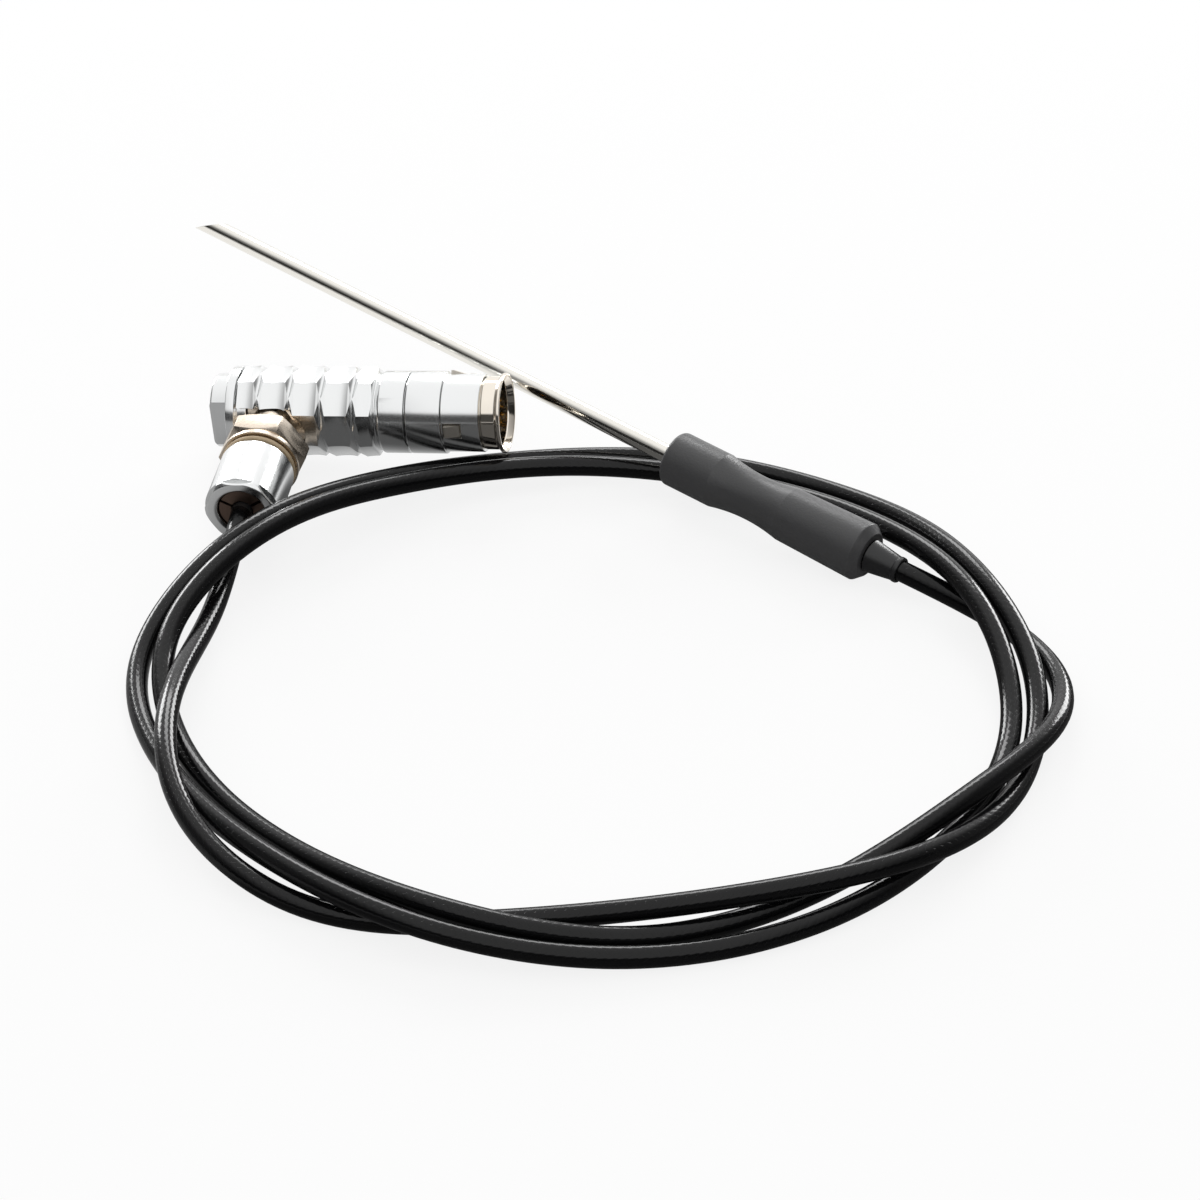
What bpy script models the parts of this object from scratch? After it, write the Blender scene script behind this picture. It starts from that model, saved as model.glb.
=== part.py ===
# Core temperature probe: a bevelled steel needle in a waisted plastic handle, a coiled
# cable, and an elbow push-pull plug whose release sleeve has a diamond-pattern grip.
# Units are metres, Z is up. The origin lies on the floor under the middle of the probe.

import math

import bpy
import bmesh
import numpy as np
from mathutils import Matrix, Vector

# Clearances
GAP = 0.0003
FIT = 0.00015
CABLE_FIT = 0.00005

# Probe pose: its axis starts at the outer end of the strain relief
RELIEF_END = Vector((-0.07108, 0.0, 0.00400))
PROBE_PITCH = math.radians(5.91)

# Needle
NEEDLE_DIAMETER = 0.0030
NEEDLE_WALL = 0.0004
NEEDLE_LENGTH = 0.1000
TIP_ANGLE = math.radians(29.0)
TIP_ROLL = math.radians(-27.0)
TIP_WALL = 0.0008
SENSOR_LENGTH = 0.0040
CERAMIC_WALL = 0.00035
LEAD_DIAMETER = 0.00024
LEAD_SPACING = 0.0006

# Handle
HANDLE_LENGTH = 0.0364
HANDLE_CHAMFER = 0.00135
HANDLE_FRONT_DIAMETER = 0.0090
HANDLE_FRONT_ROUND = 0.0008
HANDLE_LAND = 0.0091
WAIST_LENGTH = 0.0131
WAIST_DIAMETER = 0.00745
SHOULDER_DIAMETER = 0.0088
HANDLE_REAR_DIAMETER = 0.0095
HANDLE_REAR_FACE = 0.0072
HANDLE_WALL = 0.0007
SPLICE_ROOM = 0.0098
FERRULE_LENGTH = 0.0022
FERRULE_WALL = 0.0010
SPLICE_LENGTH = 0.0035
SPLICE_DIAMETER = 0.0010
SPLICE_SPACING = 0.0018
CONDUCTOR_DIAMETER = 0.0006
CONDUCTOR_SPACING = 0.00135

# Cable and strain relief
CABLE_DIAMETER = 0.0033
RELIEF_LENGTH = 0.0058
RELIEF_BASE_WALL = 0.0010
RELIEF_TIP_WALL = 0.000275
RELIEF_LIP = 0.0006
RELIEF_LIP_HEIGHT = 0.00012
STEM_LENGTH = 0.0060
STEM_WALL = 0.0007

# Plug pose: its axis starts at the rear face and runs to the mouth
PLUG_REAR = Vector((0.04148, 0.03056, 0.00710))
PLUG_YAW = math.radians(-153.17)
PLUG_PITCH = math.radians(5.22)
PLUG_ROLL = math.radians(4.7)

# Turn of the grip's flats, the latch lugs and the contacts from the leg's side
KEY_CLOCKING = math.radians(-6.5)

# End cap, screwed into the rear of the release sleeve
BOSS_DIAMETER = 0.0120
BOSS_LENGTH = 0.0030
BOSS_FLATS = 0.0092
BOSS_SHOULDER = 0.0003
CAP_DIAMETER = 0.0144
CAP_LENGTH = 0.0015
CAP_SPIGOT_LENGTH = 0.0016
CAP_SPIGOT_WALL = 0.0012
CAP_FLOOR = 0.0008
EDGE = 0.00015

# Release sleeve
GRIP_DIAMETER = 0.0150
GRIP_LENGTH = 0.0219
SLEEVE_LENGTH = 0.02755
SLEEVE_BORE = 0.0114
SLEEVE_TRAVEL = 0.0015
COLLAR_DIAMETER = 0.0133
GROOVE_WIDTH = 0.0015
GROOVE_DIAMETER = 0.0125
GROOVE_SLOPE = 0.0006
FACETS = 8
NOTCH_FIRST = 0.0034
NOTCH_PITCH = 0.00525
NOTCH_WIDTH = 0.0019
NOTCH_ROOT_WIDTH = 0.00064
NOTCH_ROOT_DEPTH = 0.00022
SCOOP_OFFSET = 0.00215
SCOOP_DEPTH = 0.00028
SCOOP_LAND = 0.0003
NOTCH_NECK = 0.00003

# Elbow body
ELBOW_REAR_WALL = 0.0017
CORE_BORE = 0.0088
ELBOW_LIP = 0.0004
STEM_DIAMETER = 0.0078
LEG_BORE = 0.0048
HEX_START = 0.0096
HEX_LENGTH = 0.0041
HEX_FLATS = 0.0125
HEX_CHAMFER = 0.0013
THREAD_DIAMETER = 0.0092
THREAD_LENGTH = 0.0051

# Pieces on the leg
WASHER_DIAMETER = 0.0127
WASHER_THICKNESS = 0.0008
SEAL_DIAMETER = 0.0121
SEAL_THICKNESS = 0.0008
NUT_DIAMETER = 0.0120
NUT_LENGTH = 0.01155
NUT_FLATS = 0.0109
NUT_FLATS_LENGTH = 0.0010
NUT_MOUTH = 0.0078
NUT_FLARE = 0.0004
NUT_CHAMFER = 0.0005
NUT_CONE_LENGTH = 0.0047
NUT_CONE_TOP = 0.0004
COLLET_RECESS = 0.0007
COLLET_SLOT = 0.0005
COLLET_SLOT_LENGTH = 0.0045
CABLE_PROUD = 0.0002
CORD_START = 0.0005

# Front of the plug
NOSE_LENGTH = 0.01190
NOSE_DIAMETER = 0.0126
NOSE_STEP = 0.0058
SHELL_OVERLAP = 0.00345
SPIGOT_LENGTH = 0.0024
SPIGOT_WALL = 0.00035
SHELL_WALL = 0.00055
SHELL_SHOULDER = 0.0006
LATCH_WALL = 0.0006
LATCH_BASE = 0.0020
LATCH_LUGS = 3
LATCH_FREE_END = 0.0010
FINGER_WIDTH = 0.0036
LUG_STATION = 0.0075
LUG_LENGTH = 0.0024
LUG_WIDTH = 0.0020
LUG_CREST = 0.0004
LUG_PROUD = 0.00045
RING_SPIGOT = 0.0015
RING_LENGTH = 0.00345
RING_DIAMETER = 0.0118
RING_WALL = 0.0003
LIP_DIAMETER = 0.0129
LIP_WIDTH = 0.0005
LIP_FLARE = 0.0004
MOUTH_FLARE = 0.0010
MOUTH_EDGE = 0.0005

# Inside of the plug
INSULATOR_RECESS = 0.0095
PIN_COUNT = 4
PIN_CIRCLE = 0.0042
PIN_DIAMETER = 0.0009
PIN_REACH = 0.0040
PIN_TIP = 0.0005
BUCKET_DIAMETER = 0.0012
BUCKET_LENGTH = 0.0035
HALF_SHELL_WALL = 0.0010
HALF_SHELL_LENGTH = 0.0127
CORE_WIRE_DIAMETER = 0.0007
CORE_WIRE_SPACING = 0.0012
CORE_WIRE_TURN = 0.00185

# Cable route between the strain relief and the nut, in millimetres
ROUTE_MM = (
    (-95.9, 2.2, 1.7), (-110.6, 17.2, 4.4), (-112.8, 42.2, 6.3), (-104.8, 72.3, 2.5),
    (-88.8, 97.7, 2.6), (-66.5, 110.3, 5.7), (-37.4, 109.0, 2.9), (-8.8, 98.0, 2.0),
    (7.7, 80.5, 5.1), (9.9, 56.9, 9.2), (5.0, 30.5, 6.3), (-10.6, 6.6, 3.8),
    (-34.3, -6.8, 3.0), (-63.3, -7.0, 5.3), (-88.0, 4.0, 6.4), (-104.3, 20.8, 2.5),
    (-112.5, 47.1, 1.9), (-109.1, 75.6, 1.9), (-92.5, 99.4, 2.1), (-67.9, 114.1, 5.0),
    (-40.0, 114.9, 5.4), (-10.8, 103.8, 2.5), (9.3, 85.6, 2.5), (13.9, 62.1, 7.3),
    (10.6, 33.9, 5.7), (-3.0, 7.4, 2.3), (-26.6, -10.0, 2.0), (-53.3, -15.2, 2.2),
    (-80.3, -5.0, 6.1), (-101.6, 10.6, 3.8), (-113.4, 32.3, 1.9), (-114.7, 58.1, 5.3),
    (-100.8, 81.3, 5.8), (-73.6, 104.2, 2.5), (-48.6, 117.6, 2.1), (-26.0, 115.1, 5.6),
    (-7.0, 97.4, 7.2), (8.3, 70.3, 3.0),
)
MILLIMETRE = 0.001

# Facets of the round pieces
STEPS_LARGE = 48
STEPS_HANDLE = 40
STEPS_MEDIUM = 32
STEPS_SMALL = 16
ARC_STEPS = 4
WAIST_STEPS = 8
MERGE = 0.00001
WELD = 0.000001
SHARP_ANGLE = math.radians(32.0)
HEXAGON_TURN = math.radians(30.0)

# Reach of the cutting bodies beyond the metal that they cut
CUT = 0.0010
FACET_INSET = 0.00002

# Size of the cross that marks the frame of the probe, the plug and the leg
AXIS_MARK = 0.010


# Scene and collections

for old in list(bpy.data.objects):
    bpy.data.objects.remove(old, do_unlink=True)

parts = bpy.data.collections.new("Core temperature probe")
cutters = bpy.data.collections.new("Cutters")
bpy.context.scene.collection.children.link(parts)
bpy.context.scene.collection.children.link(cutters)


def make_material(name, colour, roughness, metallic):
    material = bpy.data.materials.new(name)
    material.use_nodes = True
    shader = material.node_tree.nodes["Principled BSDF"]
    shader.inputs["Base Color"].default_value = (*colour, 1.0)
    shader.inputs["Roughness"].default_value = roughness
    shader.inputs["Metallic"].default_value = metallic
    material.diffuse_color = (*colour, 1.0)
    material.roughness = roughness
    material.metallic = metallic
    return material


def make_frame(name, origin, z_axis, x_axis):
    # An empty whose local Z and X follow the two given directions
    z = z_axis.normalized()
    x = (x_axis - z * x_axis.dot(z)).normalized()
    matrix = Matrix((x, z.cross(x), z)).transposed().to_4x4()
    matrix.translation = origin
    empty = bpy.data.objects.new(name, None)
    empty.empty_display_size = AXIS_MARK
    parts.objects.link(empty)
    empty.matrix_world = matrix
    return empty


def add_part(name, data, material, parent):
    obj = bpy.data.objects.new(name, data)
    parts.objects.link(obj)
    obj.parent = parent
    data.materials.append(material)
    return obj


def add_cutter(name, data, parent):
    obj = bpy.data.objects.new(name, data)
    cutters.objects.link(obj)
    obj.parent = parent
    obj.hide_render = True
    obj.display_type = "WIRE"
    return obj


def boolean(target, tool, operation):
    modifier = target.modifiers.new(tool.name, "BOOLEAN")
    modifier.operation = operation
    modifier.solver = "EXACT"
    modifier.object = tool
    weld = target.modifiers.new(tool.name + "_weld", "WELD")
    weld.merge_threshold = WELD


def revolve(obj, steps):
    screw = obj.modifiers.new("Revolve", "SCREW")
    screw.axis = "Z"
    screw.angle = 2.0 * math.pi
    screw.steps = steps
    screw.render_steps = steps
    screw.use_merge_vertices = True
    screw.merge_threshold = MERGE


def profile_mesh(name, points, closed):
    # Points are (radius, height), from the top down the outer side
    mesh = bpy.data.meshes.new(name)
    bm = bmesh.new()
    verts = [bm.verts.new((radius, 0.0, height)) for radius, height in points]
    for start, end in zip(verts, verts[1:]):
        bm.edges.new((start, end))
    if closed:
        bm.edges.new((verts[-1], verts[0]))
    bm.to_mesh(mesh)
    bm.free()
    return mesh


def turned(name, points, material, parent, steps, closed=True):
    obj = add_part(name, profile_mesh(name, points, closed), material, parent)
    revolve(obj, steps)
    return obj


def turned_cutter(name, points, parent, steps, closed=True):
    obj = add_cutter(name, profile_mesh(name, points, closed), parent)
    revolve(obj, steps)
    return obj


def cylinder_mesh(name, radius, bottom, top, steps):
    mesh = bpy.data.meshes.new(name)
    bm = bmesh.new()
    bmesh.ops.create_cone(
        bm, cap_ends=True, segments=steps, radius1=radius, radius2=radius, depth=top - bottom,
        matrix=Matrix.Translation((0.0, 0.0, (top + bottom) / 2)),
    )
    bm.to_mesh(mesh)
    bm.free()
    return mesh


def box_mesh(name, low, high):
    mesh = bpy.data.meshes.new(name)
    low = Vector(low)
    high = Vector(high)
    size = high - low
    matrix = Matrix.Translation((low + high) / 2) @ Matrix.Diagonal((*size, 1.0))
    bm = bmesh.new()
    bmesh.ops.create_cube(bm, size=1.0, matrix=matrix)
    bm.to_mesh(mesh)
    bm.free()
    return mesh


def extrusion_mesh(name, outlines, half_width):
    # Outlines in the local XZ plane, drawn out to both sides along Y
    mesh = bpy.data.meshes.new(name)
    bm = bmesh.new()
    for outline in outlines:
        face = bm.faces.new([bm.verts.new((x, -half_width, z)) for x, z in outline])
        grown = bmesh.ops.extrude_face_region(bm, geom=[face])["geom"]
        verts = [item for item in grown if isinstance(item, bmesh.types.BMVert)]
        bmesh.ops.translate(bm, verts=verts, vec=(0.0, 2.0 * half_width, 0.0))
    bmesh.ops.recalc_face_normals(bm, faces=bm.faces)
    bm.to_mesh(mesh)
    bm.free()
    return mesh


def hexagon_cutter(name, across_flats, outer_radius, bottom, top, parent):
    # A ring with a hexagonal hole, which leaves six flats, two of them across local Y
    hexagon = add_cutter(
        name + "_hole",
        cylinder_mesh(name + "_hole", across_flats / math.sqrt(3.0), bottom - CUT, top + CUT, 6),
        parent,
    )
    hexagon.rotation_euler = (0.0, 0.0, HEXAGON_TURN)
    ring = add_cutter(
        name, cylinder_mesh(name, outer_radius, bottom, top, STEPS_MEDIUM), parent
    )
    boolean(ring, hexagon, "DIFFERENCE")
    return ring


def arc(centre, radius, start, end, count):
    # Points on a circular arc in the (radius, height) plane, angles in degrees
    points = []
    for index in range(count + 1):
        angle = math.radians(start + (end - start) * index / count)
        points.append(
            (centre[0] + radius * math.cos(angle), centre[1] + radius * math.sin(angle))
        )
    return points


def smooth(points, samples):
    # Natural cubic spline through the points, with chord lengths as its parameter
    points = np.array(points, dtype=float)
    chords = np.linalg.norm(np.diff(points, axis=0), axis=1)
    knots = np.concatenate(([0.0], np.cumsum(chords)))
    count = len(points)
    system = np.eye(count)
    right = np.zeros((count, 3))
    for i in range(1, count - 1):
        before = chords[i - 1]
        after = chords[i]
        system[i, i - 1:i + 2] = (before, 2.0 * (before + after), after)
        right[i] = 6.0 * (
            (points[i + 1] - points[i]) / after - (points[i] - points[i - 1]) / before
        )
    second = np.linalg.solve(system, right)
    result = []
    for i in range(count - 1):
        chord = chords[i]
        for k in range(samples):
            t = knots[i] + chord * k / samples
            a = knots[i + 1] - t
            b = t - knots[i]
            result.append(
                second[i] * a ** 3 / (6.0 * chord)
                + second[i + 1] * b ** 3 / (6.0 * chord)
                + (points[i] / chord - second[i] * chord / 6.0) * a
                + (points[i + 1] / chord - second[i + 1] * chord / 6.0) * b
            )
    result.append(points[-1])
    return result


def tube(name, points, diameter, material, parent, resolution):
    curve = bpy.data.curves.new(name, "CURVE")
    curve.dimensions = "3D"
    curve.bevel_depth = diameter / 2
    curve.bevel_resolution = resolution
    curve.use_fill_caps = True
    spline = curve.splines.new("POLY")
    spline.points.add(len(points) - 1)
    for point, position in zip(spline.points, points):
        point.co = (*position, 1.0)
    return add_part(name, curve, material, parent)


needle_steel = make_material("Bright drawn stainless steel", (0.78, 0.77, 0.74), 0.14, 1.0)
handle_plastic = make_material("Matt anthracite moulded plastic", (0.030, 0.030, 0.032), 0.50, 0.0)
relief_rubber = make_material("Black moulded rubber", (0.015, 0.015, 0.016), 0.55, 0.0)
cable_sheath = make_material("Black braided cable sheath", (0.008, 0.008, 0.009), 0.32, 0.0)
satin_chrome = make_material("Satin chromed brass", (0.72, 0.73, 0.74), 0.30, 1.0)
bright_nickel = make_material("Polished nickel-plated brass", (0.70, 0.66, 0.60), 0.10, 1.0)
warm_nickel = make_material("Warm nickel-plated brass", (0.66, 0.56, 0.45), 0.28, 1.0)
latch_bronze = make_material("Spring bronze", (0.42, 0.30, 0.20), 0.35, 1.0)
collet_brass = make_material("Brown collet brass", (0.25, 0.17, 0.12), 0.45, 1.0)
seal_elastomer = make_material("Tan silicone seal", (0.50, 0.40, 0.28), 0.55, 0.0)
insulator_plastic = make_material("Dark brown insulator", (0.060, 0.042, 0.030), 0.50, 0.0)
contact_gold = make_material("Gold-plated contact", (0.83, 0.62, 0.28), 0.22, 1.0)
ceramic = make_material("White alumina ceramic", (0.80, 0.79, 0.76), 0.60, 0.0)
copper = make_material("Tinned copper", (0.70, 0.62, 0.54), 0.35, 1.0)
red_insulation = make_material("Red wire insulation", (0.45, 0.03, 0.02), 0.45, 0.0)
white_insulation = make_material("White wire insulation", (0.75, 0.75, 0.72), 0.45, 0.0)


# Probe frame: local Z runs from the strain relief to the tip, local X points down

probe_direction = Vector((math.cos(PROBE_PITCH), 0.0, math.sin(PROBE_PITCH)))
probe = make_frame("probe_axis", RELIEF_END, probe_direction, Vector((0.0, 0.0, -1.0)))

handle_rear = RELIEF_LENGTH
handle_front = handle_rear + HANDLE_CHAMFER + HANDLE_LENGTH
tip_end = handle_front + NEEDLE_LENGTH
root_front = handle_rear + STEM_LENGTH
needle_rear = root_front + SPLICE_ROOM
ferrule_front = needle_rear + FERRULE_LENGTH
chamber_front = ferrule_front + GAP
needle_radius = NEEDLE_DIAMETER / 2
needle_bore = needle_radius - NEEDLE_WALL
chamber_radius = WAIST_DIAMETER / 2 - HANDLE_WALL
bore_end = tip_end - NEEDLE_DIAMETER / math.tan(TIP_ANGLE) - TIP_WALL


# Needle sheath: a thin tube with a closed point, cut by one oblique plane

needle_sheath = turned(
    "needle_sheath",
    [
        (0.0, tip_end),
        (needle_radius, tip_end),
        (needle_radius, needle_rear),
        (needle_bore, needle_rear),
        (needle_bore, bore_end),
        (0.0, bore_end),
    ],
    needle_steel, probe, STEPS_MEDIUM, closed=False,
)
tip_side = Vector((-math.cos(TIP_ROLL), math.sin(TIP_ROLL), 0.0))
tip_normal = Vector((0.0, 0.0, math.sin(TIP_ANGLE))) + tip_side * math.cos(TIP_ANGLE)
tip_reach = 4.0 * NEEDLE_DIAMETER
tip_cutter = add_cutter(
    "tip_cutter",
    box_mesh("tip_cutter", (-tip_reach, -tip_reach, 0.0), (tip_reach, tip_reach, tip_reach)),
    probe,
)
tip_cutter.location = (0.0, 0.0, tip_end - needle_radius / math.tan(TIP_ANGLE))
tip_cutter.rotation_mode = "QUATERNION"
tip_cutter.rotation_quaternion = tip_normal.to_track_quat("Z", "Y")
boolean(needle_sheath, tip_cutter, "DIFFERENCE")


# Measuring element, its ceramic tube and the two leads, inside the needle

sensor_front = bore_end - GAP
sensor_rear = sensor_front - SENSOR_LENGTH
element_radius = needle_bore - FIT
turned(
    "sensor_element",
    [
        (0.0, sensor_front),
        (element_radius, sensor_front),
        (element_radius, sensor_rear),
        (0.0, sensor_rear),
    ],
    ceramic, probe, STEPS_SMALL, closed=False,
)
turned(
    "ceramic_tube",
    [
        (element_radius, sensor_rear - GAP),
        (element_radius, needle_rear),
        (element_radius - CERAMIC_WALL, needle_rear),
        (element_radius - CERAMIC_WALL, sensor_rear - GAP),
    ],
    ceramic, probe, STEPS_SMALL,
)

splice_middle = (root_front + needle_rear) / 2
splice_front = splice_middle + SPLICE_LENGTH / 2
splice_rear = splice_middle - SPLICE_LENGTH / 2
for index, side in enumerate((1.0, -1.0), start=1):
    lead_y = side * LEAD_SPACING / 2
    splice_y = side * SPLICE_SPACING / 2
    lead_start = splice_front + GAP
    lead = []
    for step in range(ARC_STEPS + 1):
        share = step / ARC_STEPS
        blend = share * share * (3.0 - 2.0 * share)
        lead.append((
            0.0,
            splice_y + (lead_y - splice_y) * blend,
            lead_start + (needle_rear - lead_start) * share,
        ))
    lead.append((0.0, lead_y, sensor_rear - GAP))
    tube("lead_wire_%d" % index, lead, LEAD_DIAMETER, copper, probe, 1)

    splice = turned(
        "splice_%d" % index,
        [
            (0.0, splice_front),
            (SPLICE_DIAMETER / 2, splice_front),
            (SPLICE_DIAMETER / 2, splice_rear),
            (0.0, splice_rear),
        ],
        copper, probe, STEPS_SMALL, closed=False,
    )
    splice.location = (0.0, splice_y, 0.0)

    conductor = [
        (0.0, side * CONDUCTOR_SPACING / 2, root_front + GAP),
        (0.0, splice_y, splice_rear - GAP),
    ]
    insulation = red_insulation if side > 0.0 else white_insulation
    tube("conductor_%d" % index, conductor, CONDUCTOR_DIAMETER, insulation, probe, 1)


# Crimp ferrule on the needle's end, behind the handle's front bore

turned(
    "crimp_ferrule",
    [
        (needle_radius + FIT + FERRULE_WALL, ferrule_front),
        (needle_radius + FIT + FERRULE_WALL, needle_rear),
        (needle_radius + FIT, needle_rear),
        (needle_radius + FIT, ferrule_front),
    ],
    bright_nickel, probe, STEPS_SMALL,
)


# Handle: round front edge, short land, concave waist, slight cone and rear chamfer

stem_radius = CABLE_DIAMETER / 2 + CABLE_FIT + STEM_WALL
front_radius = HANDLE_FRONT_DIAMETER / 2
shoulder_radius = SHOULDER_DIAMETER / 2
waist_top = handle_front - HANDLE_LAND
waist_depth = (front_radius + shoulder_radius) / 2 - WAIST_DIAMETER / 2
waist = []
for step in range(WAIST_STEPS + 1):
    share = step / WAIST_STEPS
    chord = front_radius + (shoulder_radius - front_radius) * share
    sink = waist_depth * (1.0 - (2.0 * share - 1.0) ** 2)
    waist.append((chord - sink, waist_top - WAIST_LENGTH * share))

front_round = arc(
    (front_radius - HANDLE_FRONT_ROUND, handle_front - HANDLE_FRONT_ROUND),
    HANDLE_FRONT_ROUND, 90.0, 0.0, ARC_STEPS,
)
turned(
    "handle_grip",
    [(needle_radius + FIT, handle_front)]
    + front_round
    + waist
    + [
        (HANDLE_REAR_DIAMETER / 2, handle_rear + HANDLE_CHAMFER),
        (HANDLE_REAR_FACE / 2, handle_rear),
        (stem_radius + FIT, handle_rear),
        (stem_radius + FIT, root_front + GAP),
        (chamber_radius, root_front + GAP),
        (chamber_radius, chamber_front),
        (needle_radius + FIT, chamber_front),
    ],
    handle_plastic, probe, STEPS_HANDLE,
)


# Strain relief: a short tapered boot with a lipped end and a stem in the handle

relief_bore = CABLE_DIAMETER / 2 + CABLE_FIT
base_radius = relief_bore + RELIEF_BASE_WALL
relief_tip = relief_bore + RELIEF_TIP_WALL
turned(
    "strain_relief",
    [
        (relief_bore, root_front),
        (stem_radius, root_front),
        (stem_radius, handle_rear - GAP),
        (base_radius, handle_rear - GAP),
        (relief_tip, RELIEF_LIP + RELIEF_LIP_HEIGHT),
        (relief_tip + RELIEF_LIP_HEIGHT, RELIEF_LIP),
        (relief_tip + RELIEF_LIP_HEIGHT, RELIEF_LIP_HEIGHT),
        (relief_tip, 0.0),
        (relief_bore, 0.0),
    ],
    relief_rubber, probe, STEPS_MEDIUM,
)
turned(
    "cable_root",
    [
        (0.0, root_front),
        (CABLE_DIAMETER / 2, root_front),
        (CABLE_DIAMETER / 2, 0.0),
        (0.0, 0.0),
    ],
    cable_sheath, probe, STEPS_SMALL, closed=False,
)


# Plug frame: local Z runs from the rear face to the mouth, local X is the leg's side

plug_direction = Vector((
    math.cos(PLUG_PITCH) * math.cos(PLUG_YAW),
    math.cos(PLUG_PITCH) * math.sin(PLUG_YAW),
    math.sin(PLUG_PITCH),
))
level_side = Vector((math.sin(PLUG_YAW), -math.cos(PLUG_YAW), 0.0))
leg_direction = (
    level_side * math.cos(PLUG_ROLL) + plug_direction.cross(level_side) * math.sin(PLUG_ROLL)
)
plug = make_frame("plug_axis", PLUG_REAR, plug_direction, leg_direction)

sleeve_rear = BOSS_LENGTH + CAP_LENGTH + GAP
sleeve_front = sleeve_rear + SLEEVE_LENGTH
cap_front = BOSS_LENGTH + CAP_LENGTH + CAP_SPIGOT_LENGTH
elbow_rear = cap_front + GAP
leg_station = elbow_rear + STEM_DIAMETER / 2
nose_rear = sleeve_front + GAP
nose_front = nose_rear + NOSE_LENGTH
mouth = nose_front + RING_LENGTH
elbow_front = nose_rear - SHELL_OVERLAP
leg = make_frame(
    "leg_axis", PLUG_REAR + plug_direction * leg_station, leg_direction, plug_direction
)


# End cap: boss with two spanner flats, flange, and the spigot that screws into the sleeve

cap_radius = CAP_DIAMETER / 2
boss_radius = BOSS_DIAMETER / 2
spigot_radius = SLEEVE_BORE / 2 - FIT
flange_front = BOSS_LENGTH + CAP_LENGTH
end_cap = turned(
    "end_cap",
    [
        (0.0, flange_front - CAP_FLOOR),
        (spigot_radius - CAP_SPIGOT_WALL, flange_front - CAP_FLOOR),
        (spigot_radius - CAP_SPIGOT_WALL, cap_front),
        (spigot_radius, cap_front),
        (spigot_radius, flange_front),
        (cap_radius - EDGE, flange_front),
        (cap_radius, flange_front - EDGE),
        (cap_radius, BOSS_LENGTH + EDGE),
        (cap_radius - EDGE, BOSS_LENGTH),
        (boss_radius, BOSS_LENGTH),
        (boss_radius, 2.0 * EDGE),
        (boss_radius - 2.0 * EDGE, 0.0),
        (0.0, 0.0),
    ],
    satin_chrome, plug, STEPS_MEDIUM, closed=False,
)
flats_end = BOSS_LENGTH - BOSS_SHOULDER
boss_flats = add_cutter(
    "boss_flats",
    extrusion_mesh(
        "boss_flats",
        [
            (
                (side * BOSS_FLATS / 2, -CUT),
                (side * cap_radius, -CUT),
                (side * cap_radius, flats_end),
                (side * BOSS_FLATS / 2, flats_end),
            )
            for side in (1.0, -1.0)
        ],
        cap_radius,
    ),
    plug,
)
boss_flats.rotation_euler = (0.0, 0.0, KEY_CLOCKING)
boolean(end_cap, boss_flats, "DIFFERENCE")


# Release sleeve: the gripped part, then an undercut groove and a plain collar

grip_radius = GRIP_DIAMETER / 2
collar_radius = COLLAR_DIAMETER / 2
groove_radius = GROOVE_DIAMETER / 2
bore_radius = SLEEVE_BORE / 2
grip_front = sleeve_rear + GRIP_LENGTH
release_sleeve = turned(
    "release_sleeve",
    [
        (collar_radius - EDGE, sleeve_front),
        (collar_radius, sleeve_front - EDGE),
        (collar_radius, grip_front + GROOVE_WIDTH),
        (groove_radius, grip_front + GROOVE_WIDTH - GROOVE_SLOPE),
        (groove_radius, grip_front + GROOVE_SLOPE),
        (grip_radius, grip_front),
        (grip_radius, sleeve_rear + EDGE),
        (grip_radius - EDGE, sleeve_rear),
        (bore_radius, sleeve_rear),
        (bore_radius, sleeve_front),
    ],
    satin_chrome, plug, STEPS_LARGE,
)

# Diamond grip. The sleeve has eight sides, and each side is a run of hollow scoops, one to
# a row, which meet at the row lines. There a V-shaped notch is milled across every corner
# of the octagon, so that each notch is a diamond that pinches out at the sides' middles.
half_side = math.pi / FACETS
flat_radius = grip_radius * math.cos(half_side) - FACET_INSET
notch_root = flat_radius * math.cos(half_side) + NOTCH_NECK
side_reach = grip_radius * math.sin(half_side) + CUT
notch_count = 1 + int((GRIP_LENGTH - NOTCH_FIRST) / NOTCH_PITCH)
notches = [sleeve_rear + NOTCH_FIRST + NOTCH_PITCH * i for i in range(notch_count)]
scoop_radius = flat_radius - SCOOP_DEPTH
cutter_top = grip_radius + CUT
scoop_line = []
for station in notches + [notches[-1] + NOTCH_PITCH]:
    deepest = station - SCOOP_OFFSET
    rear_run = NOTCH_PITCH - SCOOP_OFFSET - SCOOP_LAND / 2
    front_run = SCOOP_OFFSET - SCOOP_LAND / 2
    for step in range(ARC_STEPS):
        share = 1.0 - step / ARC_STEPS
        scoop_line.append((scoop_radius + SCOOP_DEPTH * share ** 2, deepest - rear_run * share))
    for step in range(ARC_STEPS + 1):
        share = step / ARC_STEPS
        scoop_line.append((scoop_radius + SCOOP_DEPTH * share ** 2, deepest + front_run * share))
scoop_line = [point for point in scoop_line if point[1] < grip_front]
scoop_line.append((scoop_radius, sleeve_front + CUT))
octagon = [(radius / math.cos(half_side), height) for radius, height in scoop_line]
octagon_sides = turned_cutter(
    "octagon_sides",
    [(0.0, octagon[-1][1])] + octagon[::-1] + [(0.0, octagon[0][1])],
    plug, FACETS, closed=False,
)

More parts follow.
